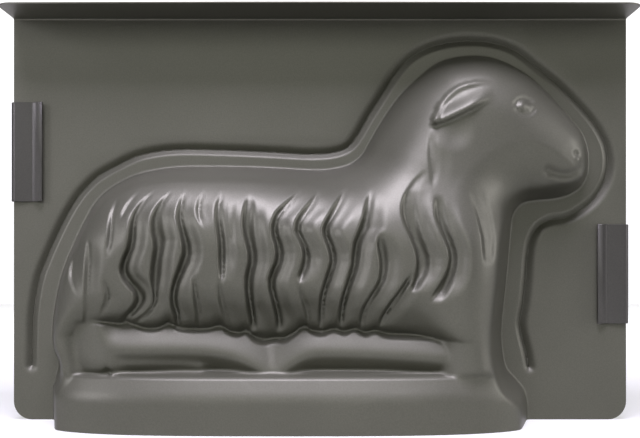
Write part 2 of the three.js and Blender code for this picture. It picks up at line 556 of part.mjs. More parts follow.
// Points of the plate, each with a place that no other point comes close to
function platePoints(top, columns) {
  const points = [];
  const add = (x, z, clear) => {
    if (Math.abs(x) > plateWidth / 2 || z < 0 || z > top) return;
    if (points.every(([px, pz]) => Math.hypot(px - x, pz - z) >= clear)) points.push([x, z]);
  };
  const half = plateWidth / 2;
  const edge = [];
  for (const x of columns) edge.push([x, top]);
  const sideCount = Math.round((top - cornerRadius) / plateSpacing);
  for (let i = 0; i < sideCount; i += 1) {
    const z = cornerRadius + ((top - cornerRadius) * i) / sideCount;
    edge.push([-half, z], [half, z]);
  }
  for (let i = 0; i < cornerSteps; i += 1) {
    const turn = (Math.PI / 2) * (i / cornerSteps);
    const x = half - cornerRadius + cornerRadius * Math.sin(turn);
    const z = cornerRadius - cornerRadius * Math.cos(turn);
    edge.push([-x, z], [x, z]);
  }
  const foot = 2 * (half - cornerRadius);
  const footCount = Math.round(foot / ringStep);
  for (let i = 1; i < footCount; i += 1) edge.push([-foot / 2 + (foot * i) / footCount, 0]);
  for (const [x, z] of edge) add(x, z, 0);

  // Rows beside a line, at the given distances to its right side
  const addRows = (shares, step, offsets, clear) => {
    const line = smoothLine(shares, step);
    for (const offset of offsets) {
      for (let i = 0; i < line.length; i += 1) {
        const before = line[Math.max(0, i - 1)];
        const after = line[Math.min(line.length - 1, i + 1)];
        const run = Math.hypot(after[0] - before[0], after[1] - before[1]);
        const x = line[i][0] + (offset * (after[1] - before[1])) / run;
        const z = line[i][1] - (offset * (after[0] - before[0])) / run;
        const isOwn = Math.abs(nearest(x, z, line).distance - Math.abs(offset)) < nearestSpacing / 2;
        if (isOwn && z > nearestSpacing && z < top - nearestSpacing) add(x, z, clear);
      }
    }
  };
  const isOnFigure = (x, z) => {
    return isInside(x, z, footLine) && nearest(x, z, footLine).distance > wallEnd + lineSpacing;
  };
  addRows(beadShares, ringStep, [0, beadInnerSlope, -beadMiddle, -beadOuterSlope], nearestSpacing);
  addRows(footShares, footStep, [0, footFillet, detailStart, wallEnd], nearestSpacing);
  const plinthRows = [plinthTop + plinthBlend];
  for (let i = 0; i <= shoulderSteps; i += 1) {
    const turn = (Math.PI / 2) * (i / shoulderSteps);
    plinthRows.push(plinthTop - plinthShoulder * (1 - Math.sin(turn)));
  }
  for (const z of plinthRows) {
    for (let x = -half; x < half; x += bodySpacing) if (isOnFigure(x, z)) add(x, z, nearestSpacing);
  }
  const grooveEdges = grooveShares.map(({ rows }) => {
    return rows.map(([zShare, leftShare]) => [leftShare, zShare]).reverse();
  });
  for (const shares of grooveEdges) addRows(shares, lockStep, [0, grooveSteepSide], crestSpacing);
  for (const shares of grooveEdges) addRows(shares, lockStep, [grooveTail], creaseSpacing);
  for (const { line, radius } of legShares) {
    const side = legFlankShare * radius * bodyDepth;
    addRows(line, bodySpacing, [0, side, -side], crestSpacing);
  }
  addRows(earEdgeShares, earStep, [0, -earSide], lineSpacing);
  addRows(earRimShares, earStep, [0, earRimWidth], lineSpacing);
  const crease = (shares) => {
    for (const [x, z] of smoothLine(shares, bodySpacing)) if (isOnFigure(x, z)) add(x, z, lineSpacing);
  };
  for (const shares of [upperLidShares, lowerLidShares, mouthShares]) crease(shares);
  for (const shares of [eyeShares, pupilShares, nostrilShares]) {
    const [x, z] = at(shares);
    add(x, z, nearestSpacing);
  }
  const fill = (spacing, clear, accepts) => {
    const rise = spacing * Math.sin(Math.PI / 3);
    for (let row = 1; row * rise < top; row += 1) {
      for (let x = -half + (row % 2 ? 0 : spacing / 2); x < half; x += spacing) {
        if (accepts(x, row * rise)) add(x, row * rise, clear);
      }
    }
  };
  fill(bodySpacing, creaseSpacing, isOnFigure);
  fill(plateSpacing, plateSpacing / 2, (x, z) => !isInside(x, z, footLine));
  return points;
}

// Delaunay triangles of points in the plane, by adding one point at a time
function triangulate(points) {
  const reach = farShare * Math.max(plateWidth, mouldHeight);
  const all = [...points, [-reach, -reach], [reach, -reach], [0, reach]];
  const count = points.length;
  const circle = (a, b, c) => {
    const [ax, ay] = all[a];
    const bx = all[b][0] - ax;
    const by = all[b][1] - ay;
    const cx = all[c][0] - ax;
    const cy = all[c][1] - ay;
    const area = 2 * (bx * cy - by * cx);
    const x = (cy * (bx * bx + by * by) - by * (cx * cx + cy * cy)) / area;
    const y = (bx * (cx * cx + cy * cy) - cx * (bx * bx + by * by)) / area;
    return { corners: [a, b, c], x: ax + x, y: ay + y, square: x * x + y * y };
  };
  let triangles = [circle(count, count + 1, count + 2)];
  for (let index = 0; index < count; index += 1) {
    const [px, py] = all[index];
    const edges = new Map();
    const kept = [];
    for (const triangle of triangles) {
      const square = (px - triangle.x) ** 2 + (py - triangle.y) ** 2;
      if (square >= triangle.square * (1 - closeShare)) {
        kept.push(triangle);
        continue;
      }
      const [a, b, c] = triangle.corners;
      for (const [from, to] of [[a, b], [b, c], [c, a]]) {
        if (!edges.delete(`${to},${from}`)) edges.set(`${from},${to}`, [from, to]);
      }
    }
    for (const [from, to] of edges.values()) kept.push(circle(from, to, index));
    triangles = kept;
  }
  return triangles.map((triangle) => triangle.corners).filter((corners) => Math.max(...corners) < count);
}

// The drawn net of one half: points on the developed sheet and the triangles between them
function developedSheet() {
  const top = mouldHeight - sheet - bendInnerRadius;
  const columns = flangeColumns();
  const plate = platePoints(top, columns);
  const triangles = triangulate(plate);
  const points = plate.map(([x, z]) => ({ x, z, bend: 0, out: 0 }));
  let row = columns.map((_, i) => i);
  const addRow = (bend, shareOut) => {
    const next = columns.map((x) => {
      points.push({ x, z: top, bend, out: shareOut * flangeReach(x) });
      return points.length - 1;
    });
    for (let i = 0; i + 1 < columns.length; i += 1) {
      triangles.push([row[i], row[i + 1], next[i + 1]], [row[i], next[i + 1], next[i]]);
    }
    row = next;
  };
  for (let i = 1; i <= bendSteps; i += 1) addRow(i / bendSteps, 0);
  addRow(1, 1);
  return { points, triangles };
}

// Outer and inner face of the sheet at a point of the net. side is -1 for the front half, 1 for the back.
function placePoint({ x, z, bend, out }, side) {
  const turn = (Math.PI / 2) * bend;
  if (bend > 0) {
    const centreOut = partingGap / 2 + sheet + bendInnerRadius;
    const place = (radius) => [
      x,
      side * (centreOut + out - radius * Math.cos(turn)),
      z + radius * Math.sin(turn),
    ];
    return [place(bendInnerRadius), place(bendInnerRadius + sheet)];
  }
  const [beadX, beadZ] = slopes(beadHeight, x, z);
  const bead = new THREE.Vector3(-beadX, 1, -beadZ).normalize().multiplyScalar(side);
  const [reliefX, reliefZ] = slopes(reliefHeight, x, z);
  const outer = new THREE.Vector3(x, beadHeight(x, z), z).addScaledVector(bead, partingGap / 2 + sheet);
  outer.y += side * reliefHeight(x, z);
  const normal = new THREE.Vector3(-reliefX - side * beadX, side, -reliefZ - side * beadZ);
  if (z === 0) normal.z = 0;
  normal.normalize();
  const inner = outer.clone().addScaledVector(normal, -sheet);
  return [outer.toArray(), inner.toArray()];
}

// A closed solid from the net: outer skin, inner skin and the sheet's edge
function sheetGeometry({ points, triangles }, side) {
  const placed = points.map((point) => placePoint(point, side));
  const positions = [...placed.map(([outer]) => outer), ...placed.map(([, inner]) => inner)].flat();
  const count = points.length;
  const edges = new Map();
  const faces = [];
  for (const [a, b, c] of triangles) {
    faces.push([a, b, c], [count + a, count + c, count + b]);
    for (const [from, to] of [[a, b], [b, c], [c, a]]) {
      if (!edges.delete(`${to},${from}`)) edges.set(`${from},${to}`, [from, to]);
    }
  }
  for (const [from, to] of edges.values()) {
    faces.push([to, from, count + from], [to, count + from, count + to]);
  }
  const turned = side < 0 ? faces : faces.map(([a, b, c]) => [a, c, b]);
  const geometry = new THREE.BufferGeometry();
  geometry.setAttribute('position', new THREE.Float32BufferAttribute(positions, 3));
  geometry.setIndex(turned.flat());
  geometry.computeVertexNormals();
  return geometry;
}

// The clip's section: a round back, two legs that close to a crease on the plates and flare at their ends
function clipGeometry() {
  const seat = partingGap / 2 + sheet + clipSeatGap + clipStrip / 2;
  const backX = clipBackRadius - clipOverhang;
  const radius = clipBackRadius - clipStrip / 2;
  const middle = [];
  for (let i = 0; i <= 2 * cornerSteps; i += 1) {
    const turn = (Math.PI / 2) * (i / (2 * cornerSteps));
    middle.push([backX - radius * Math.cos(turn), radius * Math.sin(turn)]);
  }
  const legSlope = Math.atan2(radius - seat, clipCrease - backX);
  const flareSlope = Math.atan2(clipFlare, clipReach - clipCrease);
  for (let i = 0; i <= cornerSteps; i += 1) {
    const slope = -legSlope + (legSlope + flareSlope) * (i / cornerSteps);
    middle.push([
      clipCrease + clipCreaseRadius * Math.sin(slope),
      seat + clipCreaseRadius * (1 - Math.cos(slope)),
    ]);
  }
  middle.push([clipReach, seat + clipFlare]);
  const whole = [...middle.slice(1).reverse().map(([x, y]) => [x, -y]), ...middle];
  const outline = [];
  for (const side of [1, -1]) {
    const edge = whole.map(([x, y], i) => {
      const before = whole[Math.max(0, i - 1)];
      const after = whole[Math.min(whole.length - 1, i + 1)];
      const run = Math.hypot(after[0] - before[0], after[1] - before[1]);
      return [
        x - (side * clipStrip * (after[1] - before[1])) / (2 * run),
        y + (side * clipStrip * (after[0] - before[0])) / (2 * run),
      ];
    });
    outline.push(...(side > 0 ? edge : edge.reverse()));
  }
  const shape = new THREE.Shape(outline.map(([x, y]) => new THREE.Vector2(x, y)));
  const geometry = new THREE.ExtrudeGeometry(shape, { depth: clipLength, bevelEnabled: false });
  geometry.translate(0, 0, -clipLength / 2);
  return geometry;
}

const coatedSteel = new THREE.MeshStandardMaterial({ color: 0x6a6861, metalness: 0.75, roughness: 0.42 });
const clipSteel = new THREE.MeshStandardMaterial({ color: 0x5d5d58, metalness: 0.8, roughness: 0.38 });

const mould = new THREE.Group();

function addPiece(name, geometry, material) {
  const piece = new THREE.Mesh(geometry, material);
  piece.name = name;
  mould.add(piece);
  return piece;
}

const net = developedSheet();
addPiece('front_half', sheetGeometry(net, -1), coatedSteel);
addPiece('back_half', sheetGeometry(net, 1), coatedSteel);

const leftClip = addPiece('clip_left', clipGeometry(), clipSteel);
leftClip.position.set(-plateWidth / 2, 0, clipLeftShare * mouldHeight);
const rightClip = addPiece('clip_right', clipGeometry(), clipSteel);
rightClip.position.set(plateWidth / 2, 0, clipRightShare * mouldHeight);
rightClip.rotation.z = Math.PI;

export default mould;
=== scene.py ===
"""Looks of the lamb cake mould: both pressed halves with their wool, and the two spring clips.

Sizes are in millimetres until a mesh is made. X runs along the lamb, Y from the front half to the back
half and Z up. Tables of places hold shares of the plate's width and of the mould's height.
"""
import math

import bpy
import numpy as np
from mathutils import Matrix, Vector, geometry, kdtree


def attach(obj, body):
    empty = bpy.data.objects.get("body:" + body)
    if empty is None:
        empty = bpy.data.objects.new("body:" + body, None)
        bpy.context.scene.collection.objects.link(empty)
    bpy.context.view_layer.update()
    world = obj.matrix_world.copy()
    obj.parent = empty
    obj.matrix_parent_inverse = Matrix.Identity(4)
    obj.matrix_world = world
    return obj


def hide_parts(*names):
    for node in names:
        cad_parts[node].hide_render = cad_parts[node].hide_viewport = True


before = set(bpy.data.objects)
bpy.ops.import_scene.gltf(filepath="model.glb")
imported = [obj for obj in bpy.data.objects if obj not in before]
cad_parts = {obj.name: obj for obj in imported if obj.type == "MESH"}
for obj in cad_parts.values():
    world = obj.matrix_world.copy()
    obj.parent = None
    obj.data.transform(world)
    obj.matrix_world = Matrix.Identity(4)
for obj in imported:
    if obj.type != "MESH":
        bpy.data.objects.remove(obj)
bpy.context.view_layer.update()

# Plates, flange and bead
PLATE_WIDTH = 300.0
MOULD_HEIGHT = 197.0
SHEET = 0.6
PARTING_GAP = 0.3
CORNER_RADIUS = 9.0
FLANGE_DEPTH = 31.0
FLANGE_CORNER_RADIUS = 7.0
FLANGE_BOW = 1.5
BEND_INNER_RADIUS = 1.0
BEAD_DEPTH = 2.4
BEAD_OUTER_WIDTH = 4.4
BEAD_INNER_WIDTH = 3.4
BEAD_BOTTOM_RADIUS = 0.5
BEAD_EDGE_SHARE = 0.08
BEAD_END_SHARE = 0.012

# Walls, body, neck and belly
FOOT_FILLET = 1.6
WALL_SLOPE = 3.7
WALL_BLEND = 5.0
BODY_DEPTH = 43.0
BODY_ROUNDING = 32.0
NECK_SLOPE = 1.7
NECK_BLEND = 24.0
FORM_REACH = 26.0
BELLY_TUCK = 16.0
BELLY_BLEND = 5.0
BELLY_RELEASE = 30.0

# Legs: their shares are of a leg's radius
LEG_BLEND = 2.0
LEG_INSET = 5.0
LEG_UPPER_SLOPE = 0.55
LEG_LOWER_SLOPE = 0.85
LEG_CROWN_SHARE = 0.3
LEG_REACH_SHARE = 4
LEG_FAR_SHARE = 10
LEG_EDGE_DROP = 5.0
LEG_EDGE_START = -1.0
LEG_EDGE_END = 3.0

# Wool: where the details start inside the foot, the locks, and the grooves between them
DETAIL_START = 4.0
DETAIL_FULL = 11.0
LOCK_LIFT = 5.6
LOCK_END = 7.0
NECK_GROOVE = 0.9
GROOVE_STEEP_SIDE = 2.0
GROOVE_GENTLE_SIDE = 2.6
GROOVE_TAIL = 6.0
GROOVE_TAIL_SHARE = 0.5
GROOVE_END = 6.0
GROOVE_TAIL_END = 14.0

# Ear and face
EAR_LIFT = 3.4
EAR_SIDE = 1.8
EAR_WIDTH = 9.0
EAR_RIM_LIFT = 1.5
EAR_RIM_WIDTH = 2.2
EAR_SHADE_DEPTH = 1.2
EAR_SHADE_RADIUS = 11.0
EYE_LIFT = 1.0
EYE_RADIUS = 3.8
PUPIL_DEPTH = 0.6
PUPIL_RADIUS = 1.8
LID_DEPTH = 0.8
LID_WIDTH = 1.8
NOSTRIL_DEPTH = 1.2
NOSTRIL_RADIUS = 1.9
MOUTH_DEPTH = 1.8
MOUTH_WIDTH = 3.2
LIP_LIFT = 0.8
LIP_RADIUS = 3.0

# Plinth, and how the figure keeps within its plan
PLINTH_DEPTH = 50.0
PLINTH_TOP = 25.0
PLINTH_SHOULDER = 9.0
PLINTH_BLEND = 1.5
PLINTH_SQUARENESS = 3.2
PLINTH_TOP_SLOPE = 4.5
PLINTH_SHOULDER_SLOPE = 0.44
PLINTH_EDGE_BLEND = 1.4
PLINTH_LEAST_HALF = 0.01
FIGURE_INSET = 1.5
FIGURE_RELEASE = 1.5
FIGURE_BLEND = 4.0

# Spring clips
CLIP_LENGTH = 48.5
CLIP_STRIP = 0.6
CLIP_ROUND_SHARE = 0.3
CLIP_OVERHANG = 1.2
CLIP_REACH = 14.6
CLIP_CREASE = 9.2
CLIP_CREASE_RADIUS = 1.3
CLIP_BACK_RADIUS = 2.4
CLIP_FLARE = 2.2
CLIP_SEAT_GAP = 0.3
CLIP_LEFT_MIDDLE = 131.0
CLIP_RIGHT_MIDDLE = 71.3
CLIP_BACK_POINTS = 15
CLIP_CREASE_POINTS = 13

# Surroundings as light sees them
DIM_GREY = (0.06, 0.06, 0.06, 1)

# Net of the sheet: steps, spacings, distances between its parts, and counts of points
LINE_STEP = 1.5
ROW_STEP = 1.3
EDGE_STEP = 1.1
FIGURE_SPACING = 1.15
PLATE_SPACING = 9.0
CURVE_SAMPLES = 24
ROW_TOLERANCE = 0.3
CRISP_SPACING = 0.4
CRISP_FROM_FOOT = 6.5
FINE_FROM_CRISP = 0.6
FINE_GAP_SHARE = 0.7
COARSE_FROM_FOOT = 3.0
COARSE_FROM_BEAD = 6.0
BEAD_END_REACH = 8.0
PLATE_MARGIN = 0.6
CORNER_POINTS = 11
SIDE_POINTS = 24
BOTTOM_POINTS = 236
FLANGE_POINTS = 73
BEND_POINTS = 9
INSIDE_OUTLINE = 1
MERGE_DISTANCE = 1e-4

# Step for the bead's slope, least length of a normal before it is made a unit, and the meshes' scale
GRADIENT_STEP = 0.1
LEAST_LENGTH = 1e-12
TO_METRES = 0.001

# How far the net's rows lie to the right of the lines they follow
BEAD_OFFSETS = (-4.4, -3.6, -2.8, -2.1, -1.4, -0.8, -0.3, 0, 0.3, 0.8, 1.5, 2.3, 3.0, 3.4, 3.8, 4.4)
FOOT_OFFSETS = (-0.8, 0, 0.5, 1.0, 1.6, 2.4, 3.3, 4.3, 5.4)
GROOVE_OFFSETS = (-0.6, -0.15, 0.2, 0.55, 0.9, 1.3, 1.9)
WOOL_EDGE_OFFSETS = (-3.2, -2.4, -1.6, -0.8, 0.0, 0.8, 1.6)

# Middle line of the sealing bead, from its lower end on the left over the lamb to the right one
BEAD = [
    (0.028, 0.135), (0.0285, 0.2), (0.03, 0.26), (0.034, 0.31), (0.041, 0.358), (0.055, 0.413),
    (0.072, 0.47), (0.089, 0.52), (0.107, 0.562), (0.134, 0.604), (0.164, 0.631), (0.2, 0.657),
    (0.24, 0.67), (0.28, 0.674), (0.34, 0.672), (0.42, 0.667), (0.49, 0.662), (0.525, 0.667),
    (0.546, 0.68), (0.56, 0.706), (0.58, 0.758), (0.6, 0.806), (0.62, 0.854), (0.643, 0.896),
    (0.67, 0.922), (0.705, 0.939), (0.745, 0.945), (0.785, 0.939), (0.82, 0.92), (0.855, 0.879),
    (0.89, 0.836), (0.924, 0.784), (0.953, 0.73), (0.969, 0.68), (0.972, 0.635), (0.966, 0.592),
    (0.951, 0.553), (0.93, 0.524), (0.905, 0.503), (0.876, 0.495), (0.858, 0.479), (0.847, 0.452),
    (0.841, 0.41), (0.838, 0.35), (0.834, 0.29), (0.8285, 0.238), (0.832, 0.204), (0.838, 0.168),
    (0.842, 0.132),
]

# Foot of the figure's walls, the same way round and out over the plate's lower edge at both ends
FOOT = [
    (0.064, -0.03), (0.063, 0.02), (0.062, 0.06), (0.064, 0.095), (0.071, 0.122), (0.072, 0.145),
    (0.065, 0.17), (0.062, 0.2), (0.063, 0.25), (0.068, 0.3), (0.075, 0.35), (0.086, 0.4),
    (0.099, 0.445), (0.115, 0.496), (0.132, 0.54), (0.151, 0.57), (0.171, 0.59), (0.2, 0.611),
    (0.23, 0.622), (0.27, 0.63), (0.32, 0.631), (0.38, 0.63), (0.44, 0.626), (0.49, 0.622),
    (0.52, 0.625), (0.55, 0.638), (0.567, 0.66), (0.58, 0.695), (0.6, 0.747), (0.62, 0.792),
    (0.64, 0.827), (0.66, 0.855), (0.68, 0.88), (0.7, 0.896), (0.725, 0.905), (0.755, 0.908),
    (0.785, 0.901), (0.815, 0.882), (0.84, 0.859), (0.865, 0.826), (0.89, 0.787), (0.912, 0.748),
    (0.93, 0.71), (0.938, 0.675), (0.94, 0.64), (0.937, 0.606), (0.926, 0.576), (0.905, 0.556),
    (0.878, 0.546), (0.85, 0.542), (0.829, 0.534), (0.817, 0.51), (0.813, 0.47), (0.81, 0.42),
    (0.806, 0.35), (0.801, 0.28), (0.798, 0.22), (0.8, 0.17), (0.806, 0.13), (0.82, 0.105),
    (0.835, 0.075), (0.84, 0.04), (0.84, -0.03),
]

# The figure at points on it: x, z, share of the body's depth, share of its rounding, and how far its
# sides are straight slopes with a soft top instead of a dome
FORMS = [
    (0.11, 0.3, 0.86, 0.9, 0), (0.2, 0.42, 0.95, 1, 0), (0.35, 0.4, 1, 1, 0), (0.5, 0.4, 1, 1, 0),
    (0.64, 0.42, 0.98, 1, 0), (0.66, 0.6, 0.84, 0.75, 0.8), (0.73, 0.38, 0.92, 0.8, 0),
    (0.76, 0.22, 0.9, 0.75, 0), (0.68, 0.76, 0.68, 0.5, 1), (0.76, 0.72, 0.68, 0.5, 1),
    (0.8, 0.8, 0.62, 0.42, 1), (0.86, 0.7, 0.56, 0.4, 0.6), (0.915, 0.63, 0.47, 0.36, 0),
]

# Heights where the locks start, stand out most and end, and how much of that is left at their ends
WOOL_TOP = 0.6
WOOL_MIDDLE = 0.42
WOOL_BOTTOM = 0.27
LOCK_END_SHARE = 0.95

# Shares of the width between which the locks' ends are round over the legs, and where that fades
LOCKS_START = 0.11
LOCKS_END = 0.66
LOCKS_FADE = 0.09

# Belly: the heights that it rolls in between, and the shares of the width where that fades out
BELLY_MIDDLE = 0.46
BELLY_LINE = 0.215
BELLY_START = 0.14
BELLY_END = 0.63
BELLY_FADE = 0.16

# Legs and tail: centre line, then radius and crown as shares of the body's depth
LEGS = [
    ([(0.16, 0.188), (0.24, 0.188), (0.3, 0.187), (0.34, 0.183), (0.375, 0.171), (0.405, 0.15),
      (0.428, 0.125)], 0.2, 0.91),
    ([(0.2, 0.158), (0.26, 0.158), (0.3, 0.156), (0.318, 0.152)], 0.17, 0.85),
    ([(0.442, 0.135), (0.46, 0.16), (0.485, 0.178), (0.525, 0.181), (0.58, 0.178), (0.65, 0.172),
      (0.72, 0.163), (0.76, 0.152)], 0.22, 0.91),
    ([(0.142, 0.27), (0.15, 0.235), (0.162, 0.2), (0.172, 0.17)], 0.13, 0.93),
]

# Scalloped line where the locks end over the legs
WOOL_EDGE = [
    (0.14, 0.25), (0.165, 0.248), (0.185, 0.249), (0.198, 0.247), (0.208, 0.252), (0.221, 0.24),
    (0.24, 0.231), (0.258, 0.235), (0.271, 0.248), (0.286, 0.234), (0.312, 0.23), (0.335, 0.233),
    (0.349, 0.242), (0.362, 0.225), (0.377, 0.219), (0.388, 0.226), (0.401, 0.208), (0.416, 0.2),
    (0.431, 0.206), (0.446, 0.204), (0.462, 0.22), (0.477, 0.239), (0.489, 0.226), (0.505, 0.221),
    (0.522, 0.231), (0.538, 0.222), (0.554, 0.232), (0.57, 0.219), (0.586, 0.227), (0.6, 0.217),
    (0.65, 0.213), (0.7, 0.209), (0.76, 0.205),
]

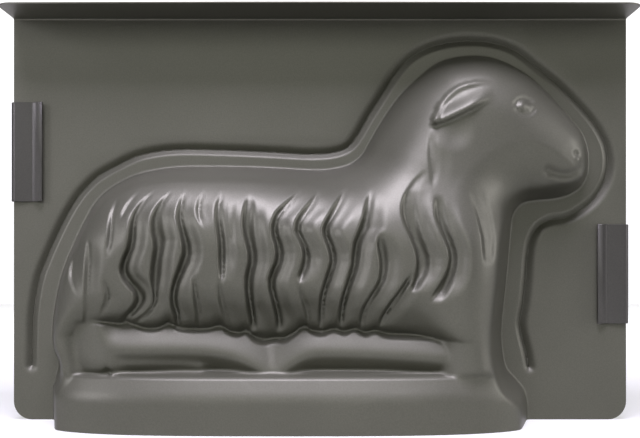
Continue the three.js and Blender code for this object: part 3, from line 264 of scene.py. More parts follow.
# Grooves between the locks of wool: share of the full depth, then from the top down the height, left
# edge and right edge, in shares
GROOVES = [
    (0.5, [(0.46, 0.133, 0.141), (0.43, 0.124, 0.134), (0.4, 0.119, 0.13), (0.37, 0.119, 0.13),
     (0.35, 0.121, 0.131), (0.33, 0.128, 0.137), (0.31, 0.136, 0.144)]),
    (0.5, [(0.45, 0.148, 0.158), (0.42, 0.148, 0.159), (0.38, 0.148, 0.159), (0.34, 0.147, 0.158),
     (0.31, 0.147, 0.157), (0.28, 0.145, 0.155), (0.25, 0.142, 0.151), (0.225, 0.135, 0.145)]),
    (0.5, [(0.55, 0.19, 0.2), (0.5, 0.183, 0.195), (0.45, 0.182, 0.195), (0.4, 0.18, 0.192)]),
    (0.7, [(0.565, 0.229, 0.239), (0.54, 0.213, 0.227), (0.52, 0.205, 0.218), (0.5, 0.2, 0.212),
     (0.475, 0.198, 0.208)]),
    (1, [(0.565, 0.253, 0.265), (0.54, 0.234, 0.248), (0.52, 0.224, 0.238), (0.5, 0.218, 0.231),
     (0.48, 0.216, 0.229), (0.46, 0.215, 0.229), (0.44, 0.214, 0.228), (0.42, 0.211, 0.225),
     (0.4, 0.205, 0.22), (0.38, 0.201, 0.217), (0.365, 0.201, 0.218), (0.35, 0.205, 0.226),
     (0.335, 0.213, 0.236), (0.32, 0.221, 0.243), (0.305, 0.223, 0.243), (0.29, 0.218, 0.238),
     (0.275, 0.208, 0.23), (0.26, 0.197, 0.219), (0.245, 0.19, 0.203)]),
    (1, [(0.565, 0.277, 0.287), (0.53, 0.258, 0.272), (0.51, 0.251, 0.268), (0.495, 0.248, 0.267),
     (0.48, 0.247, 0.268), (0.46, 0.248, 0.27), (0.44, 0.251, 0.273), (0.42, 0.252, 0.271),
     (0.4, 0.25, 0.268), (0.38, 0.248, 0.267), (0.36, 0.247, 0.266), (0.34, 0.247, 0.264),
     (0.32, 0.248, 0.262), (0.3, 0.247, 0.26), (0.285, 0.241, 0.255), (0.27, 0.231, 0.247),
     (0.255, 0.218, 0.235), (0.24, 0.208, 0.223)]),
    (1, [(0.565, 0.296, 0.304), (0.53, 0.288, 0.3), (0.51, 0.286, 0.299), (0.49, 0.286, 0.3),
     (0.47, 0.289, 0.303), (0.45, 0.292, 0.307), (0.43, 0.295, 0.311), (0.41, 0.295, 0.312),
     (0.39, 0.291, 0.309), (0.37, 0.286, 0.303), (0.35, 0.281, 0.297), (0.33, 0.277, 0.293),
     (0.31, 0.275, 0.29), (0.29, 0.276, 0.29), (0.27, 0.279, 0.292), (0.25, 0.28, 0.292),
     (0.225, 0.277, 0.29)]),
    (0.8, [(0.57, 0.327, 0.334), (0.53, 0.315, 0.326), (0.51, 0.314, 0.325), (0.495, 0.316, 0.327),
     (0.48, 0.321, 0.33), (0.46, 0.327, 0.333)]),
    (0.8, [(0.56, 0.35, 0.36), (0.52, 0.343, 0.357), (0.5, 0.343, 0.358), (0.48, 0.344, 0.36),
     (0.46, 0.346, 0.361), (0.44, 0.348, 0.363), (0.42, 0.349, 0.363), (0.4, 0.349, 0.363),
     (0.37, 0.35, 0.363), (0.335, 0.352, 0.362)]),
    (1, [(0.55, 0.39, 0.404), (0.515, 0.385, 0.406), (0.49, 0.383, 0.405), (0.47, 0.383, 0.405),
     (0.45, 0.386, 0.406), (0.43, 0.39, 0.408), (0.41, 0.393, 0.41), (0.39, 0.393, 0.41),
     (0.37, 0.39, 0.407), (0.355, 0.388, 0.405), (0.33, 0.388, 0.404), (0.3, 0.39, 0.404),
     (0.27, 0.392, 0.406), (0.25, 0.393, 0.408), (0.225, 0.39, 0.41)]),
    (1, [(0.575, 0.477, 0.489), (0.555, 0.464, 0.478), (0.54, 0.455, 0.47), (0.52, 0.442, 0.458),
     (0.505, 0.434, 0.45), (0.49, 0.43, 0.443), (0.47, 0.427, 0.441), (0.45, 0.428, 0.443),
     (0.43, 0.432, 0.448), (0.41, 0.434, 0.45), (0.39, 0.432, 0.448), (0.37, 0.426, 0.443),
     (0.35, 0.422, 0.438), (0.33, 0.423, 0.437), (0.3, 0.428, 0.441), (0.27, 0.432, 0.446),
     (0.25, 0.433, 0.448), (0.225, 0.431, 0.449)]),
    (0.9, [(0.57, 0.501, 0.512), (0.545, 0.489, 0.504), (0.525, 0.48, 0.499), (0.51, 0.473, 0.493),
     (0.495, 0.467, 0.483), (0.48, 0.463, 0.477), (0.46, 0.462, 0.476), (0.44, 0.468, 0.481),
     (0.42, 0.473, 0.487), (0.4, 0.474, 0.49), (0.38, 0.471, 0.489), (0.36, 0.466, 0.484),
     (0.335, 0.465, 0.478)]),
    (1, [(0.575, 0.541, 0.553), (0.55, 0.53, 0.546), (0.53, 0.523, 0.541), (0.51, 0.516, 0.534),
     (0.495, 0.511, 0.528), (0.48, 0.506, 0.522), (0.465, 0.503, 0.518), (0.45, 0.504, 0.519),
     (0.43, 0.509, 0.524), (0.41, 0.513, 0.528), (0.39, 0.514, 0.528), (0.37, 0.51, 0.524),
     (0.35, 0.506, 0.52), (0.33, 0.502, 0.515), (0.31, 0.499, 0.511), (0.28, 0.497, 0.509),
     (0.25, 0.497, 0.509), (0.23, 0.498, 0.509)]),
    (1, [(0.565, 0.575, 0.59), (0.53, 0.568, 0.585), (0.51, 0.566, 0.583), (0.49, 0.563, 0.581),
     (0.47, 0.558, 0.579), (0.455, 0.554, 0.573), (0.435, 0.549, 0.567), (0.415, 0.547, 0.564),
     (0.4, 0.546, 0.563), (0.38, 0.545, 0.561), (0.36, 0.541, 0.557), (0.34, 0.537, 0.552),
     (0.32, 0.533, 0.547), (0.3, 0.53, 0.544), (0.28, 0.528, 0.541), (0.26, 0.527, 0.541),
     (0.235, 0.529, 0.542)]),
    (0.8, [(0.46, 0.585, 0.6), (0.43, 0.583, 0.603), (0.41, 0.586, 0.605), (0.39, 0.588, 0.606),
     (0.37, 0.588, 0.605), (0.35, 0.586, 0.602), (0.33, 0.579, 0.595), (0.31, 0.571, 0.586),
     (0.29, 0.564, 0.577), (0.27, 0.56, 0.572), (0.25, 0.559, 0.571), (0.23, 0.56, 0.571)]),
    (0.9, [(0.37, 0.633, 0.647), (0.34, 0.622, 0.638), (0.32, 0.613, 0.628), (0.3, 0.604, 0.619),
     (0.28, 0.596, 0.61), (0.26, 0.59, 0.603), (0.235, 0.586, 0.598)]),
    (1, [(0.61, 0.66, 0.674), (0.58, 0.64, 0.66), (0.56, 0.631, 0.653), (0.54, 0.625, 0.65),
     (0.52, 0.622, 0.649), (0.5, 0.622, 0.65), (0.48, 0.625, 0.652), (0.46, 0.63, 0.655),
     (0.44, 0.635, 0.659), (0.42, 0.64, 0.664), (0.4, 0.643, 0.668), (0.38, 0.643, 0.668),
     (0.36, 0.64, 0.663), (0.34, 0.635, 0.655), (0.31, 0.628, 0.643)]),
    (0.9, [(0.7, 0.668, 0.684), (0.67, 0.664, 0.682), (0.64, 0.664, 0.686), (0.62, 0.665, 0.687),
     (0.6, 0.666, 0.685), (0.58, 0.666, 0.681), (0.555, 0.665, 0.676)]),
    (0.9, [(0.55, 0.673, 0.692), (0.52, 0.672, 0.692), (0.5, 0.672, 0.693), (0.48, 0.675, 0.695),
     (0.46, 0.68, 0.699), (0.44, 0.685, 0.704), (0.42, 0.69, 0.708), (0.4, 0.692, 0.71),
     (0.38, 0.69, 0.709), (0.36, 0.685, 0.706), (0.34, 0.677, 0.701), (0.32, 0.668, 0.694),
     (0.295, 0.66, 0.685)]),
    (0.35, [(0.57, 0.722, 0.752), (0.5, 0.735, 0.766), (0.45, 0.742, 0.77), (0.38, 0.745, 0.765)]),
    (0.4, [(0.54, 0.362, 0.38), (0.51, 0.361, 0.378), (0.48, 0.362, 0.378), (0.45, 0.364, 0.379),
     (0.41, 0.366, 0.379)]),
    (0.6, [(0.37, 0.31, 0.322), (0.34, 0.309, 0.322), (0.31, 0.311, 0.323), (0.28, 0.313, 0.324),
     (0.25, 0.312, 0.323), (0.225, 0.31, 0.321)]),
    (0.5, [(0.36, 0.348, 0.361), (0.33, 0.347, 0.36), (0.3, 0.349, 0.361), (0.27, 0.353, 0.364),
     (0.245, 0.356, 0.367), (0.225, 0.357, 0.368)]),
    (0.6, [(0.35, 0.465, 0.476), (0.32, 0.468, 0.48), (0.29, 0.474, 0.486), (0.26, 0.479, 0.49),
     (0.235, 0.478, 0.488)]),
    (0.6, [(0.36, 0.172, 0.184), (0.34, 0.176, 0.188), (0.32, 0.179, 0.191), (0.3, 0.177, 0.189),
     (0.28, 0.17, 0.182), (0.26, 0.164, 0.175)]),
]

# Ear: its lower edge and its upper rim, both from the tip to the head
EAR_EDGE = [(0.673, 0.712), (0.684, 0.711), (0.697, 0.718), (0.712, 0.728), (0.728, 0.74), (0.744, 0.752),
            (0.762, 0.765), (0.78, 0.775)]
EAR_RIM = [(0.673, 0.712), (0.676, 0.735), (0.683, 0.758), (0.692, 0.779), (0.704, 0.797), (0.719, 0.811),
           (0.738, 0.819), (0.76, 0.823), (0.78, 0.824)]

# Hollow under the ear, shares of the width where the ear sinks into the head, eye, nose and mouth
EAR_SHADE = (0.705, 0.7)
EAR_BASE_START = 0.73
EAR_BASE_END = 0.772
EYE = (0.818, 0.762)
PUPIL = (0.821, 0.752)
UPPER_LID = [(0.804, 0.764), (0.81, 0.775), (0.82, 0.78), (0.831, 0.775)]
LOWER_LID = [(0.807, 0.75), (0.817, 0.742), (0.828, 0.744), (0.834, 0.753)]
NOSTRIL = (0.903, 0.651)
NOSTRIL_RIM = (0.906, 0.636)
MOUTH = [(0.858, 0.61), (0.868, 0.603), (0.88, 0.599), (0.892, 0.6), (0.904, 0.607), (0.915, 0.617)]
LIP = [(0.868, 0.592), (0.884, 0.586), (0.902, 0.586)]


def place(share):
    """Place on the plate, in millimetres, of a pair of shares."""
    return np.array([(share[0] - 0.5) * PLATE_WIDTH, share[1] * MOULD_HEIGHT])


def width_share(x):
    """Share of the plate's width at x."""
    return x / PLATE_WIDTH + 0.5


def smooth_line(shares, step):
    """Points at even steps along a centripetal Catmull-Rom curve through the shares."""
    through = [place(share) for share in shares]
    through = [2 * through[0] - through[1]] + through + [2 * through[-1] - through[-2]]
    dense = []
    for i in range(1, len(through) - 2):
        p0, p1, p2, p3 = through[i - 1:i + 3]
        t1 = math.sqrt(np.linalg.norm(p1 - p0))
        t2 = t1 + math.sqrt(np.linalg.norm(p2 - p1))
        t3 = t2 + math.sqrt(np.linalg.norm(p3 - p2))
        for t in np.linspace(t1, t2, CURVE_SAMPLES, endpoint=i == len(through) - 3):
            a1 = p0 * (t1 - t) / t1 + p1 * t / t1
            a2 = p1 * (t2 - t) / (t2 - t1) + p2 * (t - t1) / (t2 - t1)
            a3 = p2 * (t3 - t) / (t3 - t2) + p3 * (t - t2) / (t3 - t2)
            b1 = a1 * (t2 - t) / t2 + a2 * t / t2
            b2 = a2 * (t3 - t) / (t3 - t1) + a3 * (t - t1) / (t3 - t1)
            dense.append(b1 * (t2 - t) / (t2 - t1) + b2 * (t - t1) / (t2 - t1))
    dense = np.array(dense)
    runs = np.concatenate([[0], np.cumsum(np.linalg.norm(np.diff(dense, axis=0), axis=1))])
    count = max(3, round(runs[-1] / step) + 1)
    steps = np.linspace(0, runs[-1], count)
    return np.stack([np.interp(steps, runs, dense[:, 0]), np.interp(steps, runs, dense[:, 1])], axis=1)


def nearest(x, z, line, reach=None):
    """Distance to a polyline, the side (1 is right of its direction) and the share along it.

    Points further off than reach keep an endless distance.
    """
    distance = np.full(x.shape, np.inf)
    side = np.ones(x.shape)
    along = np.zeros(x.shape)
    near = np.arange(x.size)
    if reach is not None:
        low, high = line.min(axis=0) - reach, line.max(axis=0) + reach
        near = np.flatnonzero((x > low[0]) & (x < high[0]) & (z > low[1]) & (z < high[1]))
    px, pz = x[near], z[near]
    best = np.full(px.shape, np.inf)
    best_side = np.ones(px.shape)
    best_along = np.zeros(px.shape)
    count = len(line) - 1
    for i in range(count):
        ax, az = line[i]
        dx, dz = line[i + 1] - line[i]
        share = np.clip(((px - ax) * dx + (pz - az) * dz) / (dx * dx + dz * dz), 0, 1)
        away = (px - ax - dx * share) ** 2 + (pz - az - dz * share) ** 2
        closer = away < best
        best = np.where(closer, away, best)
        best_side = np.where(closer, np.where(dx * (pz - az) - dz * (px - ax) < 0, 1.0, -1.0), best_side)
        best_along = np.where(closer, (i + share) / count, best_along)
    distance[near] = np.sqrt(best)
    side[near] = best_side
    along[near] = best_along
    return distance, side, along


def is_inside(x, z, outline):
    """Which points lie inside a closed outline."""
    inside = np.zeros(x.shape, dtype=bool)
    for (ax, az), (bx, bz) in zip(outline, np.roll(outline, 1, axis=0)):
        if az == bz:
            continue
        crosses = ((az > z) != (bz > z)) & (x < (bx - ax) * (z - az) / (bz - az) + ax)
        inside ^= crosses
    return inside


def smooth_step(value, start, end):
    """0 up to the start, 1 from the end on, and a smooth rise between them."""
    share = np.clip((value - start) / (end - start), 0, 1)
    return share * share * (3 - 2 * share)


def smooth_max(a, b, blend):
    """The larger of both, rounded where they are less than a blend apart."""
    share = np.clip(0.5 + (a - b) / (2 * blend), 0, 1)
    return b + (a - b) * share + blend * share * (1 - share)


def smooth_min(a, b, blend):
    """The smaller of both, rounded where they are less than a blend apart."""
    return -smooth_max(-a, -b, blend)


def bump(distance, width):
    """1 on a line or point, falling smoothly to 0 at its width."""
    share = np.minimum(1, distance / width)
    return (1 - share * share) ** 2


bead_line = smooth_line(BEAD, LINE_STEP)
foot_line = smooth_line(FOOT, LINE_STEP)
wool_edge_line = smooth_line(WOOL_EDGE, LINE_STEP)


def bead_height(x, z):
    """Depth of the sealing bead, pressed towards the back half."""
    distance, side, along = nearest(x, z, bead_line)
    rounded = np.hypot(distance, BEAD_BOTTOM_RADIUS) - BEAD_BOTTOM_RADIUS
    outer_reach = np.hypot(BEAD_OUTER_WIDTH, BEAD_BOTTOM_RADIUS) - BEAD_BOTTOM_RADIUS
    inner_reach = np.hypot(BEAD_INNER_WIDTH, BEAD_BOTTOM_RADIUS) - BEAD_BOTTOM_RADIUS
    outer = 1 - np.sin(np.pi / 2 * np.minimum(1, rounded / outer_reach))
    inner = smooth_max(1 - np.minimum(1, rounded / inner_reach), 0, BEAD_EDGE_SHARE)
    from_end = smooth_step(np.minimum(along, 1 - along), 0, BEAD_END_SHARE)
    return BEAD_DEPTH * (outer + np.where(side > 0, from_end, 0) * (inner - outer))


def form_at(x, z):
    """The figure's depth, rounding and straightness, mixed from the forms near each point."""
    total = np.zeros(x.shape)
    depth = np.zeros(x.shape)
    rounding = np.zeros(x.shape)
    straight = np.zeros(x.shape)
    for x_share, z_share, depth_share, rounding_share, straight_share in FORMS:
        form_x, form_z = place((x_share, z_share))
        weight = np.exp(-((x - form_x) ** 2 + (z - form_z) ** 2) / (2 * FORM_REACH ** 2))
        total += weight
        depth += weight * depth_share * BODY_DEPTH
        rounding += weight * rounding_share * BODY_ROUNDING
        straight += weight * straight_share
    return depth / total, rounding / total, straight / total


def belly_limit(x, z):
    """Upper limit of the body where the belly rolls in over the legs."""
    middle = BELLY_MIDDLE * MOULD_HEIGHT
    drop = np.clip((middle - z) / (middle - BELLY_LINE * MOULD_HEIGHT), 0, 1)
    x_share = width_share(x)
    released = smooth_step(x_share, BELLY_END, BELLY_END + BELLY_FADE)
    released = released + smooth_step(x_share, BELLY_START, BELLY_START - BELLY_FADE)
    return BODY_DEPTH - BELLY_TUCK * drop ** 2 + BELLY_RELEASE * (released + (1 - drop) ** 2)


def over_wool_edge(x, z):
    """How far a point is over the scalloped line where the locks end."""
    return z - np.interp(x, wool_edge_line[:, 0], wool_edge_line[:, 1])


def leg_height(x, z):
    """Height of the folded legs and the tail, lowered over the line where the locks end."""
    height = np.zeros(x.shape)
    for shares, radius_share, crown_share in LEGS:
        radius = radius_share * BODY_DEPTH
        distance, side, _ = nearest(x, z, smooth_line(shares, LINE_STEP), LEG_REACH_SHARE * radius)
        share = np.minimum(distance / radius, LEG_FAR_SHARE)
        slope = np.where(side > 0, LEG_LOWER_SLOPE, LEG_UPPER_SLOPE)
        fall = slope * (np.hypot(share, LEG_CROWN_SHARE) - LEG_CROWN_SHARE)
        height = smooth_max(height, crown_share * BODY_DEPTH - radius * fall, LEG_BLEND)
    return height - LEG_EDGE_DROP * smooth_step(over_wool_edge(x, z), LEG_EDGE_START, LEG_EDGE_END)


def plan_depth(x, inset):
    """Depth of the plinth's plan, drawn in on every side by an inset."""
    left = place(FOOT[0])[0]
    right = place(FOOT[-1])[0]
    half = np.maximum((right - left) / 2 - inset, PLINTH_LEAST_HALF)
    share = np.minimum(1, np.abs(x - (left + right) / 2) / half)
    curve = (1 - share ** PLINTH_SQUARENESS) ** (1 / PLINTH_SQUARENESS)
    return np.maximum(0, (PLINTH_DEPTH - inset) * curve)


def plinth_height(x, z):
    """Height of the plinth, whose plan draws in a little over the shoulder and fast at the top."""
    above = z - (PLINTH_TOP - PLINTH_SHOULDER)
    inset = smooth_max(PLINTH_SHOULDER_SLOPE * above, 0, PLINTH_EDGE_BLEND)
    inset = inset + PLINTH_TOP_SLOPE * np.maximum(0, above - PLINTH_SHOULDER)
    return plan_depth(x, inset)


def groove_depth(x, z, rows):
    """Depth of one groove from 0 to 1: it falls steeply at its left edge and rises gently at its right."""
    heights, left, right = (np.array(column) for column in zip(*rows[::-1]))
    heights = heights * MOULD_HEIGHT
    left = (left - 0.5) * PLATE_WIDTH
    right = (right - 0.5) * PLATE_WIDTH
    lean = np.interp(z, heights, np.gradient((left + right) / 2, heights))
    upright = 1 / np.hypot(1, lean)
    past_left = (x - np.interp(z, heights, left)) * upright
    before_right = (np.interp(z, heights, right) - x) * upright
    from_end = np.minimum(z - heights[0], heights[-1] - z)
    floor = smooth_step(before_right, 0, GROOVE_GENTLE_SIDE) * smooth_step(from_end, 0, GROOVE_END)
    tail = smooth_step(before_right, -GROOVE_TAIL, 0) * smooth_step(from_end, 0, GROOVE_TAIL_END)
    depth = (1 - GROOVE_TAIL_SHARE) * floor + GROOVE_TAIL_SHARE * tail
    return smooth_step(past_left, 0, GROOVE_STEEP_SIDE) * depth


def wool_height(x, z):
    """Height of the locks over the grooves' floors: they swell to their middles and end in round lobes."""
    share = z / MOULD_HEIGHT
    swell = smooth_step(-share, -WOOL_TOP, -WOOL_MIDDLE)
    fall = smooth_step(share, WOOL_BOTTOM, WOOL_MIDDLE)
    past_end = np.clip(over_wool_edge(x, z) / LOCK_END, 0, 1)
    x_share = width_share(x)
    over_legs = smooth_step(x_share, LOCKS_START, LOCKS_START + LOCKS_FADE)
    over_legs = over_legs * smooth_step(-x_share, -LOCKS_END - LOCKS_FADE, -LOCKS_END)
    end = 1 - over_legs * (1 - np.sqrt(1 - (1 - past_end) ** 2))
    return LOCK_LIFT * swell * end * (LOCK_END_SHARE + (1 - LOCK_END_SHARE) * fall)


def ear_height(x, z):
    """Height of the ear: highest near its lower edge, with a rim along its upper one."""
    edge = smooth_line(EAR_EDGE, LINE_STEP)
    rim = smooth_line(EAR_RIM, LINE_STEP)
    from_edge, _, _ = nearest(x, z, edge)
    from_rim, _, _ = nearest(x, z, rim)
    in_ear = is_inside(x, z, np.concatenate([edge, rim[::-1]]))
    raised = EAR_LIFT * smooth_step(from_edge, 0, EAR_SIDE)
    raised = raised * (1 - smooth_step(from_edge, EAR_SIDE, EAR_WIDTH))
    raised = raised + EAR_RIM_LIFT * bump(np.abs(from_rim - EAR_RIM_WIDTH / 2), EAR_RIM_WIDTH)
    base_start = place((EAR_BASE_START, 0))[0]
    base_end = place((EAR_BASE_END, 0))[0]
    return np.where(in_ear, raised, 0) * smooth_step(-x, -base_end, -base_start)


def detail_height(x, z):
    """Wool, ear and face, added to the smooth figure."""
    groove = np.zeros(x.shape)
    for share, rows in GROOVES:
        groove = np.maximum(groove, share * groove_depth(x, z, rows))
    wool = wool_height(x, z)
    height = wool - groove * np.maximum(wool, NECK_GROOVE)
    height += ear_height(x, z)
    for share, size, radius in (
        (EYE, EYE_LIFT, EYE_RADIUS), (PUPIL, -PUPIL_DEPTH, PUPIL_RADIUS),
        (NOSTRIL, -NOSTRIL_DEPTH, NOSTRIL_RADIUS), (NOSTRIL_RIM, LIP_LIFT, NOSTRIL_RADIUS),
        (EAR_SHADE, -EAR_SHADE_DEPTH, EAR_SHADE_RADIUS),
    ):
        px, pz = place(share)
        height += size * bump(np.hypot(x - px, z - pz), radius)
    for shares, size, width in (
        (UPPER_LID, -LID_DEPTH, LID_WIDTH), (LOWER_LID, -LID_DEPTH, LID_WIDTH),
        (MOUTH, -MOUTH_DEPTH, MOUTH_WIDTH), (LIP, LIP_LIFT, LIP_RADIUS),
    ):
        distance, _, _ = nearest(x, z, smooth_line(shares, LINE_STEP), width)
        height += size * bump(distance, width)
    return height


def relief_height(x, z):
    """Height of the relief above the plate."""
    inside = is_inside(x, z, foot_line)
    inward, _, _ = nearest(x, z, foot_line)
    depth, rounding, straight = form_at(x, z)
    drop = 1 - np.minimum(1, inward / rounding)
    dome = depth * np.sqrt(1 - drop * drop)
    slope = smooth_min(inward * NECK_SLOPE, depth, NECK_BLEND)
    dome = dome + straight * (slope - dome)
    figure = smooth_min(dome, belly_limit(x, z), BELLY_BLEND)
    figure = figure + detail_height(x, z) * smooth_step(inward, DETAIL_START, DETAIL_FULL)
    over_plinth = plan_depth(x, FIGURE_INSET) + FIGURE_RELEASE * np.maximum(0, z - PLINTH_TOP)
    figure = smooth_min(figure, over_plinth, FIGURE_BLEND)
    leg = smooth_min(leg_height(x, z), plan_depth(x, LEG_INSET), LEG_BLEND)
    figure = smooth_max(figure, leg, LEG_BLEND)
    whole = smooth_max(figure, plinth_height(x, z), PLINTH_BLEND)
    foot = np.minimum(inward, FOOT_FILLET)
    wall = WALL_SLOPE * (foot * foot / (2 * FOOT_FILLET) + inward - foot)
    height = np.maximum(0, np.minimum(wall, smooth_min(whole, wall, WALL_BLEND)))
    return np.where(inside, height, 0)


def rows_beside(shares, step, offsets):
    """Rows of points beside a line, at distances to its right side."""
    line = smooth_line(shares, step)
    ahead = np.gradient(line, axis=0)
    ahead /= np.linalg.norm(ahead, axis=1)[:, None]
    right = np.stack([ahead[:, 1], -ahead[:, 0]], axis=1)
    rows = []
    for offset in offsets:
        row = line + offset * right
        distance, _, _ = nearest(row[:, 0], row[:, 1], line)
        rows.append(row[np.abs(distance - abs(offset)) < ROW_TOLERANCE])
    return np.concatenate(rows)


def hex_grid(spacing, top):
    """Points of an even triangular grid over the plate."""
    half = PLATE_WIDTH / 2
    rise = spacing * math.sin(math.pi / 3)
    rows = []
    for row in range(1, int(top / rise)):
        xs = np.arange(-half + (row % 2) * spacing / 2 + spacing / 4, half, spacing)
        rows.append(np.stack([xs, np.full(xs.shape, row * rise)], axis=1))
    return np.concatenate(rows)


def tree_of(points):
    """Search tree of points on the plate."""
    tree = kdtree.KDTree(len(points))
    for i, (px, pz) in enumerate(points):
        tree.insert((px, pz, 0), i)
    tree.balance()
    return tree


def thinned(points, spacing):
    """The points without those closer than a spacing to one before them."""
    tree = tree_of(points)
    kept = np.ones(len(points), dtype=bool)
    for i, (px, pz) in enumerate(points):
        if kept[i]:
            for _, j, _ in tree.find_range((px, pz, 0), spacing):
                if j > i:
                    kept[j] = False
    return points[kept]


def apart(points, others, spacing):
    """The points that are further than a spacing from the others."""
    tree = tree_of(others)
    return np.array([point for point in points if tree.find((point[0], point[1], 0))[2] > spacing])


def flange_columns():
    """Places along X of the flange's columns, closer together at its corners."""
    straight = PLATE_WIDTH / 2 - FLANGE_CORNER_RADIUS
    turns = np.linspace(0, math.pi / 2, CORNER_POINTS)[1:]
    corner = straight + FLANGE_CORNER_RADIUS * np.sin(turns)
    return np.concatenate([-corner[::-1], np.linspace(-straight, straight, FLANGE_POINTS), corner])


def flange_reach(x):
    """How far the flange's flat part stands out at x."""
    half = PLATE_WIDTH / 2
    past = np.maximum(0, np.abs(x) - (half - FLANGE_CORNER_RADIUS))
    corner = FLANGE_CORNER_RADIUS - np.sqrt(np.maximum(0, FLANGE_CORNER_RADIUS ** 2 - past ** 2))
    bow = FLANGE_BOW * (x / half) ** 2
    return FLANGE_DEPTH - PARTING_GAP / 2 - SHEET - BEND_INNER_RADIUS - bow - corner


def plate_outline(top, columns):
    """Outline of the plate, from the bottom round its right side, the top and its left side."""
    half = PLATE_WIDTH / 2
    turns = np.linspace(0, math.pi / 2, CORNER_POINTS)
    corner_x = half - CORNER_RADIUS + CORNER_RADIUS * np.sin(turns)
    corner_z = CORNER_RADIUS - CORNER_RADIUS * np.cos(turns)
    bottom = np.linspace(-(half - CORNER_RADIUS), half - CORNER_RADIUS, BOTTOM_POINTS)[1:-1]
    side = np.linspace(CORNER_RADIUS, top, SIDE_POINTS)[1:-1]
    runs = [
        (bottom, np.zeros(bottom.shape)),
        (corner_x, corner_z),
        (np.full(side.shape, half), side),
        (columns[::-1], np.full(columns.shape, top)),
        (np.full(side.shape, -half), side[::-1]),
        (-corner_x[::-1], corner_z[::-1]),
    ]
    return np.concatenate([np.stack(run, axis=1) for run in runs])


def within_foot(points, margin):
    """The points inside the figure's foot that are further than a margin from it."""
    x, z = points.T
    from_foot, _, _ = nearest(x, z, foot_line)
    return points[is_inside(x, z, foot_line) & (from_foot > margin)]


def bead_end_points(bead_rows, top):
    """Points round the bead's two ends, clear of the rows along it."""
    grid = hex_grid(EDGE_STEP, top)
    from_start, from_end = (np.hypot(*(grid - bead_line[i]).T) for i in (0, -1))
    return apart(grid[np.minimum(from_start, from_end) < BEAD_END_REACH], bead_rows, FIGURE_SPACING / 2)


def crisp_points():
    """Points beside the grooves' left edges and beside the line where the locks end."""
    rows = []
    for _, groove in GROOVES:
        edge = [(left, height) for height, left, _ in reversed(groove)]
        rows.append(rows_beside(edge, EDGE_STEP, GROOVE_OFFSETS))
    rows.append(rows_beside(WOOL_EDGE, EDGE_STEP, WOOL_EDGE_OFFSETS))
    return thinned(within_foot(np.concatenate(rows), CRISP_FROM_FOOT), CRISP_SPACING)


def coarse_points(top):
    """Points of the plain parts of the plate."""
    grid = hex_grid(PLATE_SPACING, top)
    x, z = grid.T
    from_foot, _, _ = nearest(x, z, foot_line)
    from_bead, _, _ = nearest(x, z, bead_line)
    outside = ~is_inside(x, z, foot_line)
    return grid[outside & (from_foot > COARSE_FROM_FOOT) & (from_bead > COARSE_FROM_BEAD)]


def inner_points(top):
    """The net's points inside the plate's outline."""
    bead_rows = rows_beside(BEAD, ROW_STEP, BEAD_OFFSETS)
    bead_ends = bead_end_points(bead_rows, top)
    foot_rows = rows_beside(FOOT, ROW_STEP, FOOT_OFFSETS)
    crisp = crisp_points()
    fine = within_foot(hex_grid(FIGURE_SPACING, top), FOOT_OFFSETS[-1] + FIGURE_SPACING * FINE_GAP_SHARE)
    fine = apart(fine, crisp, FINE_FROM_CRISP)
    points = np.concatenate([bead_rows, bead_ends, foot_rows, crisp, fine, coarse_points(top)])
    x, z = points.T
    within_sides = np.abs(x) < PLATE_WIDTH / 2 - PLATE_MARGIN
    return points[within_sides & (z > PLATE_MARGIN) & (z < top - PLATE_MARGIN)]


def drawn_net():
    """Points of the developed sheet, x, z, share of the bend and distance out, and its triangles."""
    top = MOULD_HEIGHT - SHEET - BEND_INNER_RADIUS
    columns = flange_columns()
    outline = plate_outline(top, columns)
    count = len(outline)
    edges = [(i, (i + 1) % count) for i in range(count)]
    given = [Vector(point) for point in np.concatenate([outline, inner_points(top)]).tolist()]
    drawn, _, triangles, sources, _, _ = geometry.delaunay_2d_cdt(
        given, edges, [], INSIDE_OUTLINE, MERGE_DISTANCE, True)
    plate = np.array([tuple(point) for point in drawn])
    where = {source: i for i, found in enumerate(sources) for source in found}
    points = [np.stack([plate[:, 0], plate[:, 1], np.zeros(len(plate)), np.zeros(len(plate))], axis=1)]
    start = next(i for i, point in enumerate(outline) if abs(point[1] - top) < MERGE_DISTANCE)
    row = [where[start + i] for i in range(len(columns))][::-1]
    triangles = [tuple(face) for face in triangles]
    total = len(plate)
    height = np.full(columns.shape, top)
    shares = np.linspace(0, 1, BEND_POINTS)[1:]
    steps = [(share, 0.0) for share in shares] + [(1.0, share) for share in shares]
    for bend, out in steps:
        reach = flange_reach(columns) * out
        points.append(np.stack([columns, height, np.full(columns.shape, bend), reach], axis=1))
        following = list(range(total, total + len(columns)))
        total += len(columns)
        for i in range(len(columns) - 1):
            triangles.append((row[i], row[i + 1], following[i + 1]))
            triangles.append((row[i], following[i + 1], following[i]))
        row = following
    return np.concatenate(points), np.array(triangles)


def vertex_normals(points, triangles):
    """Unit normals at the points, each triangle counting by its area."""
    a, b, c = (points[triangles[:, i]] for i in range(3))
    faces = np.cross(b - a, c - a)
    normals = np.zeros(points.shape)
    for i in range(3):
        np.add.at(normals, triangles[:, i], faces)
    return normals / np.maximum(np.linalg.norm(normals, axis=1), LEAST_LENGTH)[:, None]


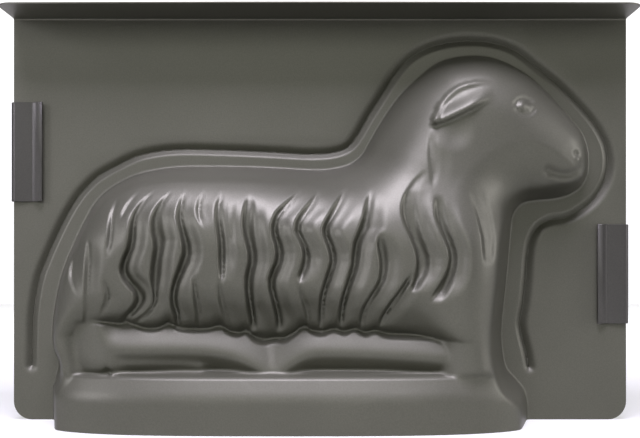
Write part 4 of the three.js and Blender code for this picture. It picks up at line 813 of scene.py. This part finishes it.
def place_sheet(net, triangles, side):
    """Outer and inner skin of one half's sheet, where side is -1 for the front half and 1 for the back.

    The outer skin is the one seen from outside, and the inner one lies a sheet's thickness under it.
    """
    x, z, bend, out = net.T
    outer = np.zeros((len(net), 3))
    inner = np.zeros((len(net), 3))
    flat = bend == 0
    px, pz = x[flat], z[flat]
    step = GRADIENT_STEP
    bead = bead_height(px, pz)
    bead_x = (bead_height(px + step, pz) - bead_height(px - step, pz)) / (2 * step)
    bead_z = (bead_height(px, pz + step) - bead_height(px, pz - step)) / (2 * step)
    across = np.stack([-bead_x, np.ones(px.shape), -bead_z], axis=1)
    across *= side / np.linalg.norm(across, axis=1)[:, None]
    outer[flat] = np.stack([px, bead, pz], axis=1) + across * (PARTING_GAP / 2 + SHEET)
    outer[flat, 1] += side * relief_height(px, pz)
    turn = np.pi / 2 * bend[~flat]
    centre = PARTING_GAP / 2 + SHEET + BEND_INNER_RADIUS
    for skin, radius in ((outer, BEND_INNER_RADIUS), (inner, BEND_INNER_RADIUS + SHEET)):
        skin[~flat, 0] = x[~flat]
        skin[~flat, 1] = side * (centre + out[~flat] - radius * np.cos(turn))
        skin[~flat, 2] = z[~flat] + radius * np.sin(turn)
    normals = vertex_normals(outer, triangles) * -side
    on_floor = z == 0
    normals[on_floor, 2] = 0
    normals /= np.linalg.norm(normals, axis=1)[:, None]
    if np.mean(normals[flat, 1] * side) < 0:
        normals = -normals
    inner[flat] = outer[flat] - normals[flat] * SHEET
    return outer, inner


def make_object(name, points, faces, sharp_edges):
    """A smooth-shaded object of these points, given in millimetres, with some of its edges sharp."""
    mesh = bpy.data.meshes.new(name)
    mesh.from_pydata((points * TO_METRES).tolist(), [], [tuple(int(i) for i in face) for face in faces])
    mesh.update()
    mesh.polygons.foreach_set("use_smooth", [True] * len(mesh.polygons))
    wanted = {tuple(sorted(edge)) for edge in sharp_edges}
    for edge in mesh.edges:
        if tuple(sorted(edge.vertices)) in wanted:
            edge.use_edge_sharp = True
    piece = bpy.data.objects.new(name, mesh)
    bpy.context.scene.collection.objects.link(piece)
    return piece


def rim_of(triangles):
    """Edges that only one triangle has, in its direction."""
    edges = np.concatenate([triangles[:, [0, 1]], triangles[:, [1, 2]], triangles[:, [2, 0]]])
    keys = np.sort(edges, axis=1)
    _, index, counts = np.unique(keys, axis=0, return_index=True, return_counts=True)
    return edges[index[counts == 1]]


def sheet_half(name, net, triangles, side):
    """One pressed half as a closed sheet: both skins and the strip that joins them round the rim."""
    outer, inner = place_sheet(net, triangles, side)
    count = len(net)
    rim = rim_of(triangles)
    faces = [tuple(face) for face in triangles]
    faces += [(a + count, c + count, b + count) for a, b, c in triangles]
    faces += [(b, a, a + count, b + count) for a, b in rim]
    if side > 0:
        faces = [face[::-1] for face in faces]
    sharp = [(a, b) for a, b in rim] + [(a + count, b + count) for a, b in rim]
    return make_object(name, np.concatenate([outer, inner]), faces, sharp)


def clip_section():
    """Middle line of the clip's strip: round back, legs closing to a crease, flared ends."""
    seat = PARTING_GAP / 2 + SHEET + CLIP_SEAT_GAP + CLIP_STRIP / 2
    back_x = CLIP_BACK_RADIUS - CLIP_OVERHANG
    radius = CLIP_BACK_RADIUS - CLIP_STRIP / 2
    middle = [(back_x - radius * math.cos(turn), radius * math.sin(turn))
              for turn in np.linspace(0, math.pi / 2, CLIP_BACK_POINTS)]
    leg_slope = math.atan2(radius - seat, CLIP_CREASE - back_x)
    flare_slope = math.atan2(CLIP_FLARE, CLIP_REACH - CLIP_CREASE)
    for slope in np.linspace(-leg_slope, flare_slope, CLIP_CREASE_POINTS):
        middle.append((CLIP_CREASE + CLIP_CREASE_RADIUS * math.sin(slope),
                       seat + CLIP_CREASE_RADIUS * (1 - math.cos(slope))))
    middle.append((CLIP_REACH, seat + CLIP_FLARE))
    return np.array([(x, -y) for x, y in middle[:0:-1]] + middle)


def clip_piece(name, edge_x, middle_z, turned):
    """A clip with its strip's edges rounded, drawn round its middle line and along its length."""
    middle = clip_section()
    ahead = np.gradient(middle, axis=0)
    ahead /= np.linalg.norm(ahead, axis=1)[:, None]
    left = np.stack([-ahead[:, 1], ahead[:, 0]], axis=1)
    half_strip = CLIP_STRIP / 2
    half_length = CLIP_LENGTH / 2
    round_off = CLIP_STRIP * CLIP_ROUND_SHARE
    rows = [
        (-half_strip, -half_length + round_off), (-half_strip + round_off, -half_length),
        (half_strip - round_off, -half_length), (half_strip, -half_length + round_off),
        (half_strip, half_length - round_off), (half_strip - round_off, half_length),
        (-half_strip + round_off, half_length), (-half_strip, half_length - round_off),
    ]
    points = []
    for position, across in zip(middle, left):
        for thick, along in rows:
            x, y = position + across * thick
            points.append((x, y, along))
    points = np.array(points)
    if turned:
        points[:, :2] *= -1
    points += np.array([edge_x, 0, middle_z])
    ring = len(rows)
    faces = []
    sharp = []
    for i in range(len(middle) - 1):
        for j in range(ring):
            k = (j + 1) % ring
            faces.append((i * ring + j, i * ring + k, (i + 1) * ring + k, (i + 1) * ring + j))
            sharp.append((i * ring + j, (i + 1) * ring + j))
    last = (len(middle) - 1) * ring
    faces.append(tuple(range(ring))[::-1])
    faces.append(tuple(range(last, last + ring)))
    return make_object(name, points, faces, sharp)


def add_node(tree, kind, inputs=None, **settings):
    """A new shader node with its settings and the values of its inputs."""
    node = tree.nodes.new(kind)
    for key, value in settings.items():
        setattr(node, key, value)
    for key, value in (inputs or {}).items():
        node.inputs[key].default_value = value
    return node


def coated_metal(name, colour, roughness, metallic):
    """Dark non-stick coat on steel: fine grain, faint stains and slow changes of sheen."""
    material = bpy.data.materials.new(name)
    material.use_nodes = True
    tree = material.node_tree
    shader = tree.nodes["Principled BSDF"]
    shader.inputs["Metallic"].default_value = metallic
    shader.inputs["Specular IOR Level"].default_value = 0.5
    shader.inputs["Specular Tint"].default_value = (0.95, 0.9, 1.0, 1)
    where = add_node(tree, "ShaderNodeTexCoord")
    stains = add_node(tree, "ShaderNodeTexNoise", {"Scale": 14.0, "Detail": 4.0, "Roughness": 0.55})
    grain = add_node(tree, "ShaderNodeTexNoise", {"Scale": 1500.0, "Detail": 2.0, "Roughness": 0.6})
    tree.links.new(where.outputs["Object"], stains.inputs["Vector"])
    tree.links.new(where.outputs["Object"], grain.inputs["Vector"])
    tint = add_node(tree, "ShaderNodeValToRGB")
    tint.color_ramp.elements[0].position = 0.3
    tint.color_ramp.elements[1].position = 0.72
    tint.color_ramp.elements[0].color = (*[channel * 0.93 for channel in colour], 1)
    tint.color_ramp.elements[1].color = (*[channel * 1.07 for channel in colour], 1)
    tree.links.new(stains.outputs["Fac"], tint.inputs["Fac"])
    speckle = add_node(tree, "ShaderNodeMixRGB", {"Fac": 0.22}, blend_type="OVERLAY")
    tree.links.new(tint.outputs["Color"], speckle.inputs["Color1"])
    tree.links.new(grain.outputs["Fac"], speckle.inputs["Color2"])
    tree.links.new(speckle.outputs["Color"], shader.inputs["Base Color"])
    sheen = add_node(tree, "ShaderNodeMapRange", {
        "From Min": 0.3, "From Max": 0.7, "To Min": roughness - 0.03, "To Max": roughness + 0.04,
    })
    tree.links.new(stains.outputs["Fac"], sheen.inputs["Value"])
    tree.links.new(sheen.outputs["Result"], shader.inputs["Roughness"])
    relief = add_node(tree, "ShaderNodeBump", {"Strength": 0.12, "Distance": 0.0002})
    tree.links.new(grain.outputs["Fac"], relief.inputs["Height"])
    tree.links.new(relief.outputs["Normal"], shader.inputs["Normal"])
    return material


def seen_directly(tree):
    """1 for rays that show a surface: from the camera, in a reflection or through glass."""
    light_path = add_node(tree, "ShaderNodeLightPath")
    total = None
    for name in ("Is Camera Ray", "Is Glossy Ray", "Is Transmission Ray"):
        if total is None:
            total = light_path.outputs[name]
            continue
        larger = add_node(tree, "ShaderNodeMath", operation="MAXIMUM")
        tree.links.new(total, larger.inputs[0])
        tree.links.new(light_path.outputs[name], larger.inputs[1])
        total = larger.outputs[0]
    return total


def white_paper(name):
    """White to the camera and in reflections, but so dim to other rays that it lights little."""
    material = bpy.data.materials.new(name)
    material.use_nodes = True
    tree = material.node_tree
    tree.nodes.remove(tree.nodes["Principled BSDF"])
    dim = add_node(tree, "ShaderNodeBsdfDiffuse", {"Color": DIM_GREY})
    bright = add_node(tree, "ShaderNodeBsdfDiffuse", {"Color": (0.4, 0.4, 0.4, 1)})
    glow = add_node(tree, "ShaderNodeEmission", {"Color": (1, 1, 1, 1), "Strength": 0.55})
    lit = add_node(tree, "ShaderNodeAddShader")
    tree.links.new(bright.outputs[0], lit.inputs[0])
    tree.links.new(glow.outputs[0], lit.inputs[1])
    mix = add_node(tree, "ShaderNodeMixShader")
    tree.links.new(seen_directly(tree), mix.inputs["Fac"])
    tree.links.new(dim.outputs[0], mix.inputs[1])
    tree.links.new(lit.outputs[0], mix.inputs[2])
    tree.links.new(mix.outputs[0], tree.nodes["Material Output"].inputs["Surface"])
    return material


def give(piece, material):
    """Makes a material the only one of a piece."""
    piece.data.materials.clear()
    piece.data.materials.append(material)


def aim(thing, target):
    """Turns a lamp to face a target."""
    thing.rotation_euler = (Vector(target) - thing.location).to_track_quat("-Z", "Y").to_euler()


def softbox(name, location, target, size, power, colour):
    """A rectangular lamp that faces a target."""
    light = bpy.data.lights.new(name, "AREA")
    light.shape = "RECTANGLE"
    light.size, light.size_y = size
    light.energy = power
    light.color = colour
    lamp = bpy.data.objects.new(name, light)
    bpy.context.scene.collection.objects.link(lamp)
    lamp.location = location
    aim(lamp, target)


# The photograph's view: the camera faces the plates, its frame shifted up and a little to the left
camera_data = bpy.data.cameras.new("photo_camera")
camera_data.sensor_width = 36.0
camera_data.lens = 57.4
camera_data.shift_x = -0.0156
camera_data.shift_y = 0.0734
camera = bpy.data.objects.new("photo_camera", camera_data)
camera.location = (0.0049, -0.5008, 0.0752)
camera.rotation_euler = (math.radians(90), 0, 0)
bpy.context.scene.collection.objects.link(camera)
bpy.context.scene.camera = camera

scene = bpy.context.scene
scene.view_settings.view_transform = "Standard"

# Grey light from all around, and five soft lamps: four for the mould and one for the backdrop
world = bpy.data.worlds.new("studio")
scene.world = world
world.use_nodes = True
world.node_tree.nodes["Background"].inputs["Color"].default_value = DIM_GREY

softbox("top_box", (-0.05, -0.42, 0.9), (0, 0, 0.1), (0.5, 0.45), 15.0, (0.83, 0.77, 1.0))
softbox("front_box", (-0.05, -1.15, 0.5), (0, 0, 0.1), (0.9, 0.5), 2.3, (1.0, 1.0, 1.0))
softbox("left_box", (-0.85, -0.6, 0.4), (0, 0, 0.1), (0.35, 0.35), 3.8, (0.88, 0.84, 1.0))
softbox("right_box", (0.9, -0.25, 0.35), (0, 0, 0.1), (0.2, 0.5), 3.0, (0.94, 0.9, 1.0))
softbox("backdrop_box", (0.0, 0.5, 0.8), (0, 1.5, 0.3), (1.5, 0.5), 30.0, (1.0, 1.0, 1.0))

# Floor and backdrop, in metres: how far the floor reaches, where the backdrop stands and how large it is
reach = 3.0
back = 1.5
wide = 1.3
high = 1.1
paper = white_paper("white_paper")
for name, corners in (
    ("floor", [(-reach, -reach, 0), (reach, -reach, 0), (reach, back, 0), (-reach, back, 0)]),
    ("backdrop", [(-wide, back, 0), (wide, back, 0), (wide, back, high), (-wide, back, high)]),
):
    mesh = bpy.data.meshes.new(name)
    mesh.from_pydata(corners, [], [(0, 1, 2, 3)])
    sheet = bpy.data.objects.new(name, mesh)
    scene.collection.objects.link(sheet)
    give(sheet, paper)

# The two halves from one net, then the two clips
net, net_triangles = drawn_net()
sheet_metal = coated_metal("coated_sheet_metal", (0.122, 0.125, 0.09), 0.46, 0.5)
clip_metal = coated_metal("clip_metal", (0.078, 0.078, 0.064), 0.36, 0.5)

for node, side in (("front_half", -1), ("back_half", 1)):
    half = sheet_half(node + "_sheet", net, net_triangles, side)
    give(half, sheet_metal)
    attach(half, "mould")
    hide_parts(node)

for node, body, edge_x, middle_z, turned in (
    ("clip_left", "left_clip", -PLATE_WIDTH / 2, CLIP_LEFT_MIDDLE, False),
    ("clip_right", "right_clip", PLATE_WIDTH / 2, CLIP_RIGHT_MIDDLE, True),
):
    clip = clip_piece(node + "_spring", edge_x, middle_z, turned)
    give(clip, clip_metal)
    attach(clip, body)
    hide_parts(node)
